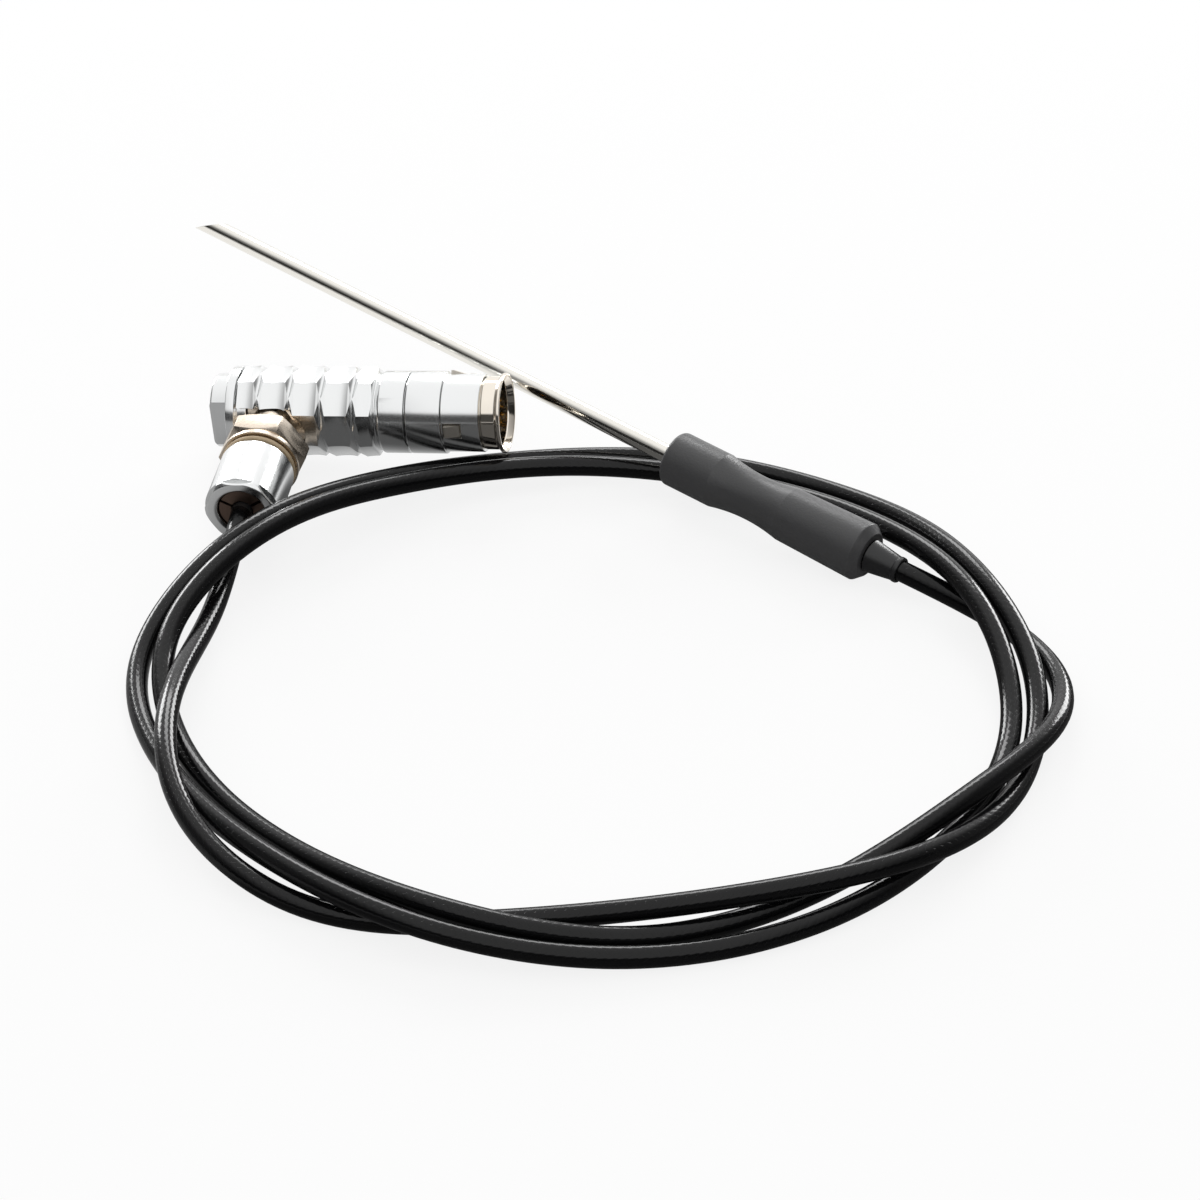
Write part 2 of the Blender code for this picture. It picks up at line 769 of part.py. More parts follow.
notch_shoulder = notch_root + NOTCH_ROOT_DEPTH
notch_slope = (NOTCH_WIDTH - NOTCH_ROOT_WIDTH) / 2 / (grip_radius - notch_shoulder)
notch_top_half = NOTCH_ROOT_WIDTH / 2 + notch_slope * (cutter_top - notch_shoulder)
notch_outlines = [
    (
        (notch_root, station),
        (notch_shoulder, station - NOTCH_ROOT_WIDTH / 2),
        (cutter_top, station - notch_top_half),
        (cutter_top, station + notch_top_half),
        (notch_shoulder, station + NOTCH_ROOT_WIDTH / 2),
    )
    for station in notches
]
release_sleeve.rotation_euler = (0.0, 0.0, KEY_CLOCKING)
octagon_sides.rotation_euler = (0.0, 0.0, KEY_CLOCKING + half_side)
boolean(release_sleeve, octagon_sides, "INTERSECT")
notch_mesh = extrusion_mesh("notches", notch_outlines, side_reach)
for index in range(FACETS):
    notch = add_cutter("notches_%d" % (index + 1), notch_mesh, plug)
    notch.rotation_euler = (0.0, 0.0, KEY_CLOCKING + half_side * (2 * index + 1))
    boolean(release_sleeve, notch, "DIFFERENCE")

# Slot for the leg, open to the rear so that the sleeve goes on before the end cap, and
# long enough for the sleeve's travel.
slot_half = STEM_DIAMETER / 2 + GAP
slot_outline = arc((0.0, leg_station + SLEEVE_TRAVEL), slot_half, 0.0, 180.0, 3 * ARC_STEPS)
slot_outline += [(-slot_half, sleeve_rear - CUT), (slot_half, sleeve_rear - CUT)]
leg_slot = add_cutter(
    "leg_slot", extrusion_mesh("leg_slot", [slot_outline], (cutter_top - CUT) / 2), plug
)
leg_slot.location = ((cutter_top + CUT) / 2, 0.0, 0.0)
leg_slot.rotation_euler = (0.0, 0.0, -math.pi / 2)
boolean(release_sleeve, leg_slot, "DIFFERENCE")


# Elbow body: cross tube inside the sleeve, with the leg's stem, hexagon and thread

cross_radius = bore_radius - GAP
core_radius = CORE_BORE / 2
counterbore_radius = cross_radius - ELBOW_LIP
counterbore_bottom = elbow_front - SPIGOT_LENGTH - GAP
hex_end = HEX_START + HEX_LENGTH
thread_end = hex_end + THREAD_LENGTH
thread_radius = THREAD_DIAMETER / 2
stem_outer = STEM_DIAMETER / 2
hex_corner = HEX_FLATS / math.sqrt(3.0)
elbow_body = turned(
    "elbow_body",
    [
        (0.0, elbow_front),
        (cross_radius, elbow_front),
        (cross_radius, elbow_rear),
        (0.0, elbow_rear),
    ],
    warm_nickel, plug, STEPS_LARGE, closed=False,
)
leg_stem = turned_cutter(
    "leg_stem",
    [
        (0.0, thread_end),
        (thread_radius - EDGE, thread_end),
        (thread_radius, thread_end - EDGE),
        (thread_radius, HEX_START + HEX_LENGTH / 2),
        (stem_outer, HEX_START + HEX_LENGTH / 2),
        (stem_outer, 0.0),
        (0.0, 0.0),
    ],
    leg, STEPS_MEDIUM, closed=False,
)
hexagon = add_cutter(
    "leg_hexagon", cylinder_mesh("leg_hexagon", hex_corner, HEX_START, hex_end, 6), leg
)
hexagon.rotation_euler = (0.0, 0.0, HEXAGON_TURN)
hex_chamfer = turned_cutter(
    "hexagon_chamfer",
    [
        (0.0, hex_end + CUT),
        (hex_corner - HEX_CHAMFER - CUT * 2.0, hex_end + CUT),
        (hex_corner + CUT, hex_end - HEX_CHAMFER / 2 - CUT / 2),
        (hex_corner + CUT, HEX_START + HEX_CHAMFER / 2 + CUT / 2),
        (hex_corner - HEX_CHAMFER - CUT * 2.0, HEX_START - CUT),
        (0.0, HEX_START - CUT),
    ],
    leg, STEPS_MEDIUM, closed=False,
)
boolean(hexagon, hex_chamfer, "INTERSECT")
boolean(leg_stem, hexagon, "UNION")
boolean(elbow_body, leg_stem, "UNION")
cross_bore = turned_cutter(
    "cross_bore",
    [
        (0.0, elbow_front + CUT),
        (counterbore_radius, elbow_front + CUT),
        (counterbore_radius, counterbore_bottom),
        (core_radius, counterbore_bottom),
        (core_radius, elbow_rear + ELBOW_REAR_WALL),
        (0.0, elbow_rear + ELBOW_REAR_WALL),
    ],
    plug, STEPS_MEDIUM, closed=False,
)
leg_bore = add_cutter(
    "leg_bore",
    cylinder_mesh("leg_bore", LEG_BORE / 2, core_radius / 2, thread_end + CUT, STEPS_MEDIUM),
    leg,
)
boolean(elbow_body, cross_bore, "DIFFERENCE")
boolean(elbow_body, leg_bore, "DIFFERENCE")


# Washer and sealing ring between the hexagon and the nut

ring_bore = thread_radius + FIT
washer_start = hex_end + GAP
washer_end = washer_start + WASHER_THICKNESS
seal_start = washer_end + GAP
seal_end = seal_start + SEAL_THICKNESS
turned(
    "leg_washer",
    [
        (WASHER_DIAMETER / 2 - EDGE, washer_end),
        (WASHER_DIAMETER / 2, washer_end - EDGE),
        (WASHER_DIAMETER / 2, washer_start),
        (ring_bore, washer_start),
        (ring_bore, washer_end),
    ],
    warm_nickel, leg, STEPS_MEDIUM,
)
turned(
    "seal_ring",
    [
        (ring_bore, seal_end),
        (SEAL_DIAMETER / 2 - EDGE, seal_end),
        (SEAL_DIAMETER / 2, (seal_start + seal_end) / 2),
        (SEAL_DIAMETER / 2 - EDGE, seal_start),
        (ring_bore, seal_start),
    ],
    seal_elastomer, leg, STEPS_MEDIUM,
)


# Collet nut: threaded over the leg, conical inside, with spanner flats at its mouth

nut_radius = NUT_DIAMETER / 2
nut_start = seal_end + GAP
nut_end = nut_start + NUT_LENGTH
nut_mouth = NUT_MOUTH / 2
collet_rear = thread_end + GAP
cone_start = collet_rear + GAP
cone_radius = ring_bore - NUT_CONE_TOP
collet_nut = turned(
    "collet_nut",
    [
        (nut_mouth, nut_end - NUT_FLARE),
        (nut_mouth + NUT_FLARE, nut_end),
        (nut_radius - NUT_CHAMFER, nut_end),
        (nut_radius, nut_end - NUT_CHAMFER),
        (nut_radius, nut_start + 2.0 * EDGE),
        (nut_radius - 2.0 * EDGE, nut_start),
        (ring_bore, nut_start),
        (ring_bore, collet_rear),
        (cone_radius, cone_start),
        (nut_mouth, cone_start + NUT_CONE_LENGTH),
    ],
    satin_chrome, leg, STEPS_MEDIUM,
)
nut_flats = hexagon_cutter(
    "nut_flats", NUT_FLATS, nut_radius + CUT, nut_end - NUT_FLATS_LENGTH, nut_end + CUT, leg
)
boolean(collet_nut, nut_flats, "DIFFERENCE")


# Collet: a cone slit into three jaws, closed on the cable by the nut

collet_end = nut_end - COLLET_RECESS
collet = turned(
    "collet",
    [
        (relief_bore, collet_end),
        (nut_mouth - FIT, collet_end),
        (nut_mouth - FIT, cone_start + NUT_CONE_LENGTH),
        (cone_radius - FIT, cone_start + FIT),
        (cone_radius - FIT, collet_rear),
        (relief_bore, collet_rear),
    ],
    collet_brass, leg, STEPS_MEDIUM,
)
for index in range(3):
    slit = add_cutter(
        "collet_slit_%d" % (index + 1),
        box_mesh(
            "collet_slit_%d" % (index + 1),
            (CABLE_DIAMETER / 4, -COLLET_SLOT / 2, collet_end - COLLET_SLOT_LENGTH),
            (nut_mouth + CUT, COLLET_SLOT / 2, collet_end + CUT),
        ),
        leg,
    )
    slit.rotation_euler = (0.0, 0.0, 2.0 * math.pi * index / 3 + math.pi / 6)
    boolean(collet, slit, "DIFFERENCE")
turned(
    "cable_tail",
    [
        (0.0, nut_end + CABLE_PROUD),
        (CABLE_DIAMETER / 2, nut_end + CABLE_PROUD),
        (CABLE_DIAMETER / 2, collet_rear),
        (0.0, collet_rear),
    ],
    cable_sheath, leg, STEPS_SMALL, closed=False,
)


# Front shell: plain nose with a window for each latch lug, screwed into the elbow

nose_radius = NOSE_DIAMETER / 2
shell_bore = nose_radius - SHELL_WALL
spigot_outer = counterbore_radius - FIT
spigot_bore = spigot_outer - SPIGOT_WALL
shell_step = elbow_front + GAP
shoulder = nose_rear + SHELL_SHOULDER
front_shell = turned(
    "front_shell",
    [
        (nose_radius - EDGE, nose_front),
        (nose_radius, nose_front - EDGE),
        (nose_radius, nose_rear + NOSE_STEP),
        (collar_radius, nose_rear + NOSE_STEP - EDGE),
        (collar_radius, nose_rear + EDGE),
        (collar_radius - EDGE, nose_rear),
        (cross_radius, nose_rear),
        (cross_radius, shell_step),
        (spigot_outer, shell_step),
        (spigot_outer, elbow_front - SPIGOT_LENGTH),
        (spigot_bore, elbow_front - SPIGOT_LENGTH),
        (spigot_bore, shoulder),
        (shell_bore, shoulder),
        (shell_bore, nose_front),
    ],
    satin_chrome, plug, STEPS_LARGE,
)


# Latch sleeve: a ring with three spring fingers, each with a ramped lug in a window

latch_outer = shell_bore - FIT
latch_inner = latch_outer - LATCH_WALL
latch_rear = shoulder + GAP
latch_front = nose_front - RING_SPIGOT - LATCH_FREE_END
lug_middle = nose_rear + LUG_STATION
lug_rear = lug_middle - LUG_LENGTH / 2
lug_front = lug_middle + LUG_LENGTH / 2
lug_radius = nose_radius + LUG_PROUD
latch_sleeve = turned(
    "latch_sleeve",
    [
        (latch_outer, latch_front),
        (latch_outer, latch_rear),
        (latch_inner, latch_rear),
        (latch_inner, latch_front),
    ],
    latch_bronze, plug, STEPS_MEDIUM,
)
latch_sleeve.rotation_euler = (0.0, 0.0, KEY_CLOCKING)
front_shell.rotation_euler = (0.0, 0.0, KEY_CLOCKING)
finger_half = math.asin(FINGER_WIDTH / 2 / latch_inner)
opening_half = latch_inner * math.sin(math.pi / LATCH_LUGS - finger_half)
lug_root = (latch_inner + latch_outer) / 2
lug_mesh = extrusion_mesh(
    "lug",
    [[
        (lug_root, lug_rear),
        (lug_radius, lug_rear),
        (lug_radius, lug_rear + LUG_CREST),
        (nose_radius - EDGE, lug_front),
        (lug_root, lug_front),
    ]],
    LUG_WIDTH / 2,
)
window_mesh = box_mesh(
    "window",
    (latch_outer - SHELL_WALL / 2, -LUG_WIDTH / 2 - GAP, lug_rear - GAP),
    (lug_radius + CUT, LUG_WIDTH / 2 + GAP, lug_front + GAP),
)
opening_mesh = box_mesh(
    "finger_opening",
    (latch_inner / 3, -opening_half, latch_rear + LATCH_BASE),
    (latch_outer + CUT, opening_half, latch_front + CUT),
)
for index in range(LATCH_LUGS):
    angle = KEY_CLOCKING + 2.0 * math.pi * index / LATCH_LUGS
    lug = add_cutter("lug_%d" % (index + 1), lug_mesh, plug)
    lug.rotation_euler = (0.0, 0.0, angle)
    boolean(latch_sleeve, lug, "UNION")
    window = add_cutter("window_%d" % (index + 1), window_mesh, plug)
    window.rotation_euler = (0.0, 0.0, angle)
    boolean(front_shell, window, "DIFFERENCE")
    opening = add_cutter("finger_opening_%d" % (index + 1), opening_mesh, plug)
    opening.rotation_euler = (0.0, 0.0, angle + math.pi / LATCH_LUGS)
    boolean(latch_sleeve, opening, "DIFFERENCE")


# Front ring: polished, with a flared lip round the mouth

ring_radius = RING_DIAMETER / 2
ring_bore_radius = shell_bore - FIT - RING_WALL
lip_radius = LIP_DIAMETER / 2
turned(
    "front_ring",
    [
        (lip_radius - MOUTH_EDGE, mouth),
        (lip_radius - EDGE, mouth),
        (lip_radius, mouth - EDGE),
        (lip_radius, mouth - LIP_WIDTH),
        (ring_radius, mouth - LIP_WIDTH - LIP_FLARE),
        (ring_radius, nose_front + GAP),
        (shell_bore - FIT, nose_front + GAP),
        (shell_bore - FIT, nose_front - RING_SPIGOT),
        (ring_bore_radius, nose_front - RING_SPIGOT),
        (ring_bore_radius, mouth - MOUTH_FLARE),
    ],
    bright_nickel, plug, STEPS_MEDIUM,
)


# Insulator with its contact pins, held by two half shells in the elbow's bore

insulator_front = mouth - INSULATOR_RECESS
half_front = elbow_front - SPIGOT_LENGTH
insulator_rear = half_front + GAP
insulator_radius = spigot_bore - FIT
insulator = turned(
    "insulator",
    [
        (0.0, insulator_front),
        (insulator_radius, insulator_front),
        (insulator_radius, insulator_rear),
        (0.0, insulator_rear),
    ],
    insulator_plastic, plug, STEPS_MEDIUM, closed=False,
)
pin_radius = PIN_DIAMETER / 2
bucket_radius = BUCKET_DIAMETER / 2
pin_front = insulator_front + PIN_REACH
bucket_front = insulator_rear - GAP
pin_rear = bucket_front - BUCKET_LENGTH
pin_places = []
for index in range(PIN_COUNT):
    angle = KEY_CLOCKING + 2.0 * math.pi * (index + 0.5) / PIN_COUNT
    place = (PIN_CIRCLE / 2 * math.cos(angle), PIN_CIRCLE / 2 * math.sin(angle), 0.0)
    pin_places.append(place)
    hole = add_cutter(
        "pin_hole_%d" % (index + 1),
        cylinder_mesh(
            "pin_hole_%d" % (index + 1), pin_radius + FIT, insulator_rear - CUT,
            insulator_front + CUT, STEPS_SMALL,
        ),
        plug,
    )
    hole.location = place
    boolean(insulator, hole, "DIFFERENCE")
    pin = turned(
        "contact_pin_%d" % (index + 1),
        [
            (0.0, pin_front),
            (pin_radius / 2, pin_front),
            (pin_radius, pin_front - PIN_TIP),
            (pin_radius, bucket_front),
            (bucket_radius, bucket_front),
            (bucket_radius, pin_rear),
            (0.0, pin_rear),
        ],
        contact_gold, plug, STEPS_SMALL, closed=False,
    )
    pin.location = place

half_outer = core_radius - FIT
half_rear = half_front - HALF_SHELL_LENGTH
for index in range(2):
    half = turned(
        "half_shell_%d" % (index + 1),
        [
            (half_outer, half_front),
            (half_outer, half_rear),
            (half_outer - HALF_SHELL_WALL, half_rear),
            (half_outer - HALF_SHELL_WALL, half_front),
        ],
        warm_nickel, plug, STEPS_MEDIUM,
    )
    half.rotation_euler = (0.0, 0.0, math.pi * index)
    split = add_cutter(
        "half_split_%d" % (index + 1),
        box_mesh(
            "half_split_%d" % (index + 1),
            (-core_radius, -core_radius, half_rear - CUT),
            (core_radius, FIT, half_front + CUT),
        ),
        plug,
    )
    split.rotation_euler = (0.0, 0.0, math.pi * index)
    boolean(half, split, "DIFFERENCE")


# Two core wires, from the cable's end down the leg and round to their contacts

wire_start = collet_rear - GAP
for index, side in enumerate((1.0, -1.0), start=1):
    pin_x, pin_y, _ = pin_places[0] if side > 0.0 else pin_places[-1]
    wire_y = side * CORE_WIRE_SPACING / 2
    knots = [
        (wire_start, wire_y, leg_station),
        (hex_end, wire_y, leg_station),
        (HEX_START, wire_y, leg_station),
    ]
    knots.append((pin_x + CORE_WIRE_TURN, (wire_y + pin_y) / 2, leg_station + CORE_WIRE_TURN))
    knots.append((pin_x, pin_y, (leg_station + pin_rear) / 2))
    knots.append((pin_x, pin_y, pin_rear - GAP))
    insulation = red_insulation if side > 0.0 else white_insulation
    tube("core_wire_%d" % index, smooth(knots, 3), CORE_WIRE_DIAMETER, insulation, plug, 1)


# Cable: one smooth run from the strain relief, three times round the coil and into the nut

cable_start = RELIEF_END - probe_direction * GAP
leg_origin = PLUG_REAR + plug_direction * leg_station
cable_end = leg_origin + leg_direction.normalized() * (nut_end + CORD_START)
route = [tuple(cable_start)]
route += [tuple(value * MILLIMETRE for value in point) for point in ROUTE_MM]
route += [tuple(cable_end)]
tube("cable", smooth(route, 2), CABLE_DIAMETER, cable_sheath, None, 2)


# Apply the modifiers and shade the round faces smooth

bpy.context.view_layer.update()
graph = bpy.context.evaluated_depsgraph_get()
finished = {}
for obj in parts.objects:
    if obj.type == "MESH":
        finished[obj] = bpy.data.meshes.new_from_object(obj.evaluated_get(graph))
for obj, mesh in finished.items():
    obj.modifiers.clear()
    obj.data = mesh
    mesh.name = obj.name
    mesh.shade_smooth()
    mesh.set_sharp_from_angle(angle=SHARP_ANGLE)
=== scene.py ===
import math

import bmesh
import bpy
import numpy as np
from mathutils import Matrix, Vector


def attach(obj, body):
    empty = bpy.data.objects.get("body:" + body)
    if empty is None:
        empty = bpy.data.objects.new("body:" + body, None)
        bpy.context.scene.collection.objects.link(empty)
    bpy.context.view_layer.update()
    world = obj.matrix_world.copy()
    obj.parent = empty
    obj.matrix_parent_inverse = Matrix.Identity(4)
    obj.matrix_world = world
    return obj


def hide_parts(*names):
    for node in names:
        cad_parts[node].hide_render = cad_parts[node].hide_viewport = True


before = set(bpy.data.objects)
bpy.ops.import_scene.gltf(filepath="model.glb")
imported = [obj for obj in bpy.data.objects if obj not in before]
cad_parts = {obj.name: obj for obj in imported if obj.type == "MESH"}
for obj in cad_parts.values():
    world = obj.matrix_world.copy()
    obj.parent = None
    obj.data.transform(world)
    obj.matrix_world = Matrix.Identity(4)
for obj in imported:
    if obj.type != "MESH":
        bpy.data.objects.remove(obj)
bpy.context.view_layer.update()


# Camera. A long lens above the coil, on the side away from the needle, looking down at the
# whole object as it lies on the table.

scene = bpy.context.scene
scene.view_settings.view_transform = "Standard"
image_right = Vector((-0.8020, -0.5973, 0.0))
image_down = Vector((-0.3340, 0.4485, -0.8290))
towards_camera = image_right.cross(-image_down).normalized()
camera_data = bpy.data.cameras.new("product_camera")
camera_data.lens = 126.0
camera_data.sensor_width = 36.0
camera_data.clip_start = 0.05
camera_data.clip_end = 20.0
camera = bpy.data.objects.new("product_camera", camera_data)
scene.collection.objects.link(camera)
camera_axes = Matrix((image_right, -image_down, towards_camera)).transposed().to_4x4()
camera_axes.translation = Vector((-0.3569, 0.4617, 0.3635))
camera.matrix_world = camera_axes
scene.camera = camera


# Cable. A thin instrument cable: a black glossy sheath drawn tight over a braid, whose flat
# crossing yarns show through as faint diamonds. It leaves the strain relief, lies in three
# loose turns on the table, and goes into the plug's collet nut.

def colour(code):
    # sRGB hex to linear
    values = [int(code[i:i + 2], 16) / 255.0 for i in (1, 3, 5)]
    linear = [v / 12.92 if v <= 0.04045 else ((v + 0.055) / 1.055) ** 2.4 for v in values]
    return (*linear, 1.0)


def add(tree, kind, values=None, links=None, **options):
    # One node, with its options, its sockets' values and what is linked into it
    made = tree.nodes.new(kind)
    for name, value in options.items():
        setattr(made, name, value)
    for name, value in (values or {}).items():
        made.inputs[name].default_value = value
    for name, source in (links or {}).items():
        tree.links.new(source, made.inputs[name])
    return made


probe_axis = Vector((math.cos(math.radians(5.91)), 0.0, math.sin(math.radians(5.91))))
relief_end = Vector((-0.07108, 0.0, 0.00400))
plug_rear = Vector((0.04148, 0.03056, 0.00710))
plug_axis = Vector((-0.888649, -0.449473, 0.090980))
leg_axis = Vector((-0.456479, 0.885984, -0.081599))
leg_foot = plug_rear + plug_axis * 0.0103

cable_diameter = 0.0033
cable_end = 0.02796    # on the leg's axis, just inside the collet
cable_rings = 640
cable_route = [
    tuple(relief_end),
    (-0.0959, 0.0022, 0.0017), (-0.1106, 0.0172, 0.0044), (-0.1128, 0.0422, 0.0063),
    (-0.1048, 0.0723, 0.0025), (-0.0888, 0.0977, 0.0026), (-0.0665, 0.1103, 0.0057),
    (-0.0374, 0.1090, 0.0029), (-0.0088, 0.0980, 0.0020), (0.0077, 0.0805, 0.0051),
    (0.0099, 0.0569, 0.0092), (0.0050, 0.0305, 0.0063), (-0.0106, 0.0066, 0.0038),
    (-0.0343, -0.0068, 0.0030), (-0.0633, -0.0070, 0.0053), (-0.0880, 0.0040, 0.0064),
    (-0.1043, 0.0208, 0.0025), (-0.1125, 0.0471, 0.0019), (-0.1091, 0.0756, 0.0019),
    (-0.0925, 0.0994, 0.0021), (-0.0679, 0.1141, 0.0050), (-0.0400, 0.1149, 0.0054),
    (-0.0108, 0.1038, 0.0025), (0.0093, 0.0856, 0.0025), (0.0139, 0.0621, 0.0073),
    (0.0106, 0.0339, 0.0057), (-0.0030, 0.0074, 0.0023), (-0.0266, -0.0100, 0.0020),
    (-0.0533, -0.0152, 0.0022), (-0.0803, -0.0050, 0.0061), (-0.1016, 0.0106, 0.0038),
    (-0.1134, 0.0323, 0.0019), (-0.1147, 0.0581, 0.0053), (-0.1008, 0.0813, 0.0058),
    (-0.0736, 0.1042, 0.0025), (-0.0486, 0.1176, 0.0021), (-0.0260, 0.1151, 0.0056),
    (-0.0070, 0.0974, 0.0072), (0.0083, 0.0703, 0.0030),
    tuple(leg_foot + leg_axis * cable_end),
]


def laid(points, samples):
    # Natural cubic spline through the route, with chord lengths as its parameter
    points = np.array(points, dtype=float)
    chords = np.linalg.norm(np.diff(points, axis=0), axis=1)
    system = np.eye(len(points))
    right = np.zeros((len(points), 3))
    for i in range(1, len(points) - 1):
        before, after = chords[i - 1], chords[i]
        system[i, i - 1:i + 2] = (before, 2.0 * (before + after), after)
        right[i] = 6.0 * (
            (points[i + 1] - points[i]) / after - (points[i] - points[i - 1]) / before
        )
    second = np.linalg.solve(system, right)
    line = []
    for i, chord in enumerate(chords):
        for k in range(samples):
            b = chord * k / samples
            a = chord - b
            line.append(
                (second[i] * a ** 3 + second[i + 1] * b ** 3) / (6.0 * chord)
                + (points[i] / chord - second[i] * chord / 6.0) * a
                + (points[i + 1] / chord - second[i + 1] * chord / 6.0) * b
            )
    line.append(points[-1])
    return line


# The line is taken again at equal steps, so that the sheath's pattern keeps its pitch
rough_line = np.array(laid(cable_route, 16))
gone = np.concatenate(([0.0], np.cumsum(np.linalg.norm(np.diff(rough_line, axis=0), axis=1))))
cable_length = float(gone[-1])
evenly = np.linspace(0.0, cable_length, cable_rings)
cable_line = np.array([np.interp(evenly, gone, rough_line[:, k]) for k in range(3)]).T
cable_curve = bpy.data.curves.new("braided_cable", "CURVE")
cable_curve.dimensions = "3D"
cable_curve.bevel_depth = cable_diameter / 2
cable_curve.bevel_resolution = 9
cable_curve.use_fill_caps = True
cable_spline = cable_curve.splines.new("POLY")
cable_spline.points.add(len(cable_line) - 1)
for knot, point in zip(cable_spline.points, cable_line):
    knot.co = (*point, 1.0)
cable_spline.use_smooth = True
cable = bpy.data.objects.new("braided_cable", cable_curve)
scene.collection.objects.link(cable)

# Clear-skinned black fluoropolymer over a braid of flat yarns 1.4 mm apart: very glossy, with
# a faint reflection from above. The sheath bridges the yarns, so the surface only tilts a few
# degrees where they cross, which jags the edges of reflections.
sheath = bpy.data.materials.new("Glossy black sheath over braid")
sheath.use_nodes = True
tree = sheath.node_tree
shader = tree.nodes["Principled BSDF"]
shader.inputs["Base Color"].default_value = colour("#0b0b0c")
shader.inputs["IOR"].default_value = 1.36
place = add(tree, "ShaderNodeTexCoord")
parts = add(tree, "ShaderNodeSeparateXYZ", links={"Vector": place.outputs["UV"]})
yarn_pitch = 0.0014
carriers = 8.0
along = add(
    tree, "ShaderNodeMath", {1: cable_length / yarn_pitch}, {0: parts.outputs["X"]},
    operation="MULTIPLY",
)
around = add(tree, "ShaderNodeMath", {1: carriers}, {0: parts.outputs["Y"]}, operation="MULTIPLY")
left_lay = add(tree, "ShaderNodeMath", links={0: along.outputs[0], 1: around.outputs[0]})
right_lay = add(
    tree, "ShaderNodeMath", links={0: along.outputs[0], 1: around.outputs[0]},
    operation="SUBTRACT",
)
# Each lay is a row of rounded ridges. Which of the two lies on top changes from one crossing
# to the next, one over and one under.
ridges = []
steps = []
for lay in (left_lay, right_lay):
    turn = add(tree, "ShaderNodeMath", {1: math.pi}, {0: lay.outputs[0]}, operation="MULTIPLY")
    wave = add(tree, "ShaderNodeMath", links={0: turn.outputs[0]}, operation="SINE")
    ridge = add(tree, "ShaderNodeMath", links={0: wave.outputs[0]}, operation="ABSOLUTE")
    ridges.append(add(tree, "ShaderNodeMath", {1: 0.85}, {0: ridge.outputs[0]}, operation="POWER"))
    steps.append(add(tree, "ShaderNodeMath", links={0: lay.outputs[0]}, operation="FLOOR"))
order = add(tree, "ShaderNodeMath", links={0: steps[0].outputs[0], 1: steps[1].outputs[0]})
half = add(tree, "ShaderNodeMath", {1: 0.5}, {0: order.outputs[0]}, operation="MULTIPLY")
odd = add(tree, "ShaderNodeMath", links={0: half.outputs[0]}, operation="FRACT")
over = add(tree, "ShaderNodeMath", {1: 0.25}, {0: odd.outputs[0]}, operation="GREATER_THAN")
weave = add(
    tree, "ShaderNodeMix", links={0: over.outputs[0], 2: ridges[0].outputs[0],
                                  3: ridges[1].outputs[0]},
)
wander = add(tree, "ShaderNodeTexNoise", {"Scale": 420.0, "Detail": 3.0},
             {"Vector": place.outputs["Object"]})
lumps = add(tree, "ShaderNodeMath", {1: 2.2}, {0: wander.outputs["Fac"]}, operation="MULTIPLY")
height = add(tree, "ShaderNodeMath", links={0: weave.outputs[0], 1: lumps.outputs[0]})
relief = add(tree, "ShaderNodeBump", {"Strength": 0.5, "Distance": 0.000022},
             {"Height": height.outputs[0]})
tree.links.new(relief.outputs["Normal"], shader.inputs["Normal"])
gloss = add(
    tree, "ShaderNodeMapRange",
    {"From Min": 0.3, "From Max": 0.7, "To Min": 0.09, "To Max": 0.17},
    {"Value": wander.outputs["Fac"]},
)
tree.links.new(gloss.outputs["Result"], shader.inputs["Roughness"])
cable_curve.materials.append(sheath)
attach(cable, "probe_and_plug")
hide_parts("cable")


# Needle. A thin drawn stainless tube, closed and ground to a slanted point. The drawing die
# leaves fine lines along it, and the grinding leaves the bevel a little brighter.

def in_order(mesh):
    # Mesh tools leave points and faces in an order that changes from run to run. Later cuts
    # follow that order, so it is fixed here.
    points = sorted({tuple(vert.co) for vert in mesh.vertices})
    place_of = {point: i for i, point in enumerate(points)}
    faces = []
    for face in mesh.polygons:
        turn = [place_of[tuple(mesh.vertices[i].co)] for i in face.vertices]
        turn = [i for i, before in zip(turn, turn[-1:] + turn[:-1]) if i != before]
        if len(turn) > 2:
            first = turn.index(min(turn))
            faces.append(turn[first:] + turn[:first])
    mesh.clear_geometry()
    mesh.from_pydata(points, [], sorted(faces))


def spun(name, profile, axes, steps, closed=True):
    # A turned piece: its half section, as (radius, height), spun once round local Z
    work = bmesh.new()
    verts = [work.verts.new((radius, 0.0, height)) for radius, height in profile]
    edges = [work.edges.new(pair) for pair in zip(verts, verts[1:])]
    if closed:
        edges.append(work.edges.new((verts[-1], verts[0])))
    bmesh.ops.spin(
        work, geom=verts + edges, cent=(0.0, 0.0, 0.0), axis=(0.0, 0.0, 1.0),
        angle=2.0 * math.pi, steps=steps, use_merge=True,
    )
    bmesh.ops.remove_doubles(work, verts=work.verts, dist=1e-7)
    bmesh.ops.recalc_face_normals(work, faces=work.faces)
    mesh = bpy.data.meshes.new(name)
    work.to_mesh(mesh)
    work.free()
    in_order(mesh)
    mesh.transform(axes)
    made = bpy.data.objects.new(name, mesh)
    scene.collection.objects.link(made)
    return made


def axes_of(origin, direction, side):
    # A frame whose Z runs along the direction and whose X leans to the side
    z = direction.normalized()
    x = (side - z * side.dot(z)).normalized()
    axes = Matrix((x, z.cross(x), z)).transposed().to_4x4()
    axes.translation = origin
    return axes


def dress(piece, material, body, slot, *nodes, angle=20.0):
    # Finish, smooth shading up to an angle, and the body and CAD nodes that a piece goes with
    piece.data.materials.clear()
    piece.data.materials.append(material)
    piece.data.shade_smooth()
    piece.data.set_sharp_from_angle(angle=math.radians(angle))
    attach(piece, body)
    if nodes:
        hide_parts(*nodes)


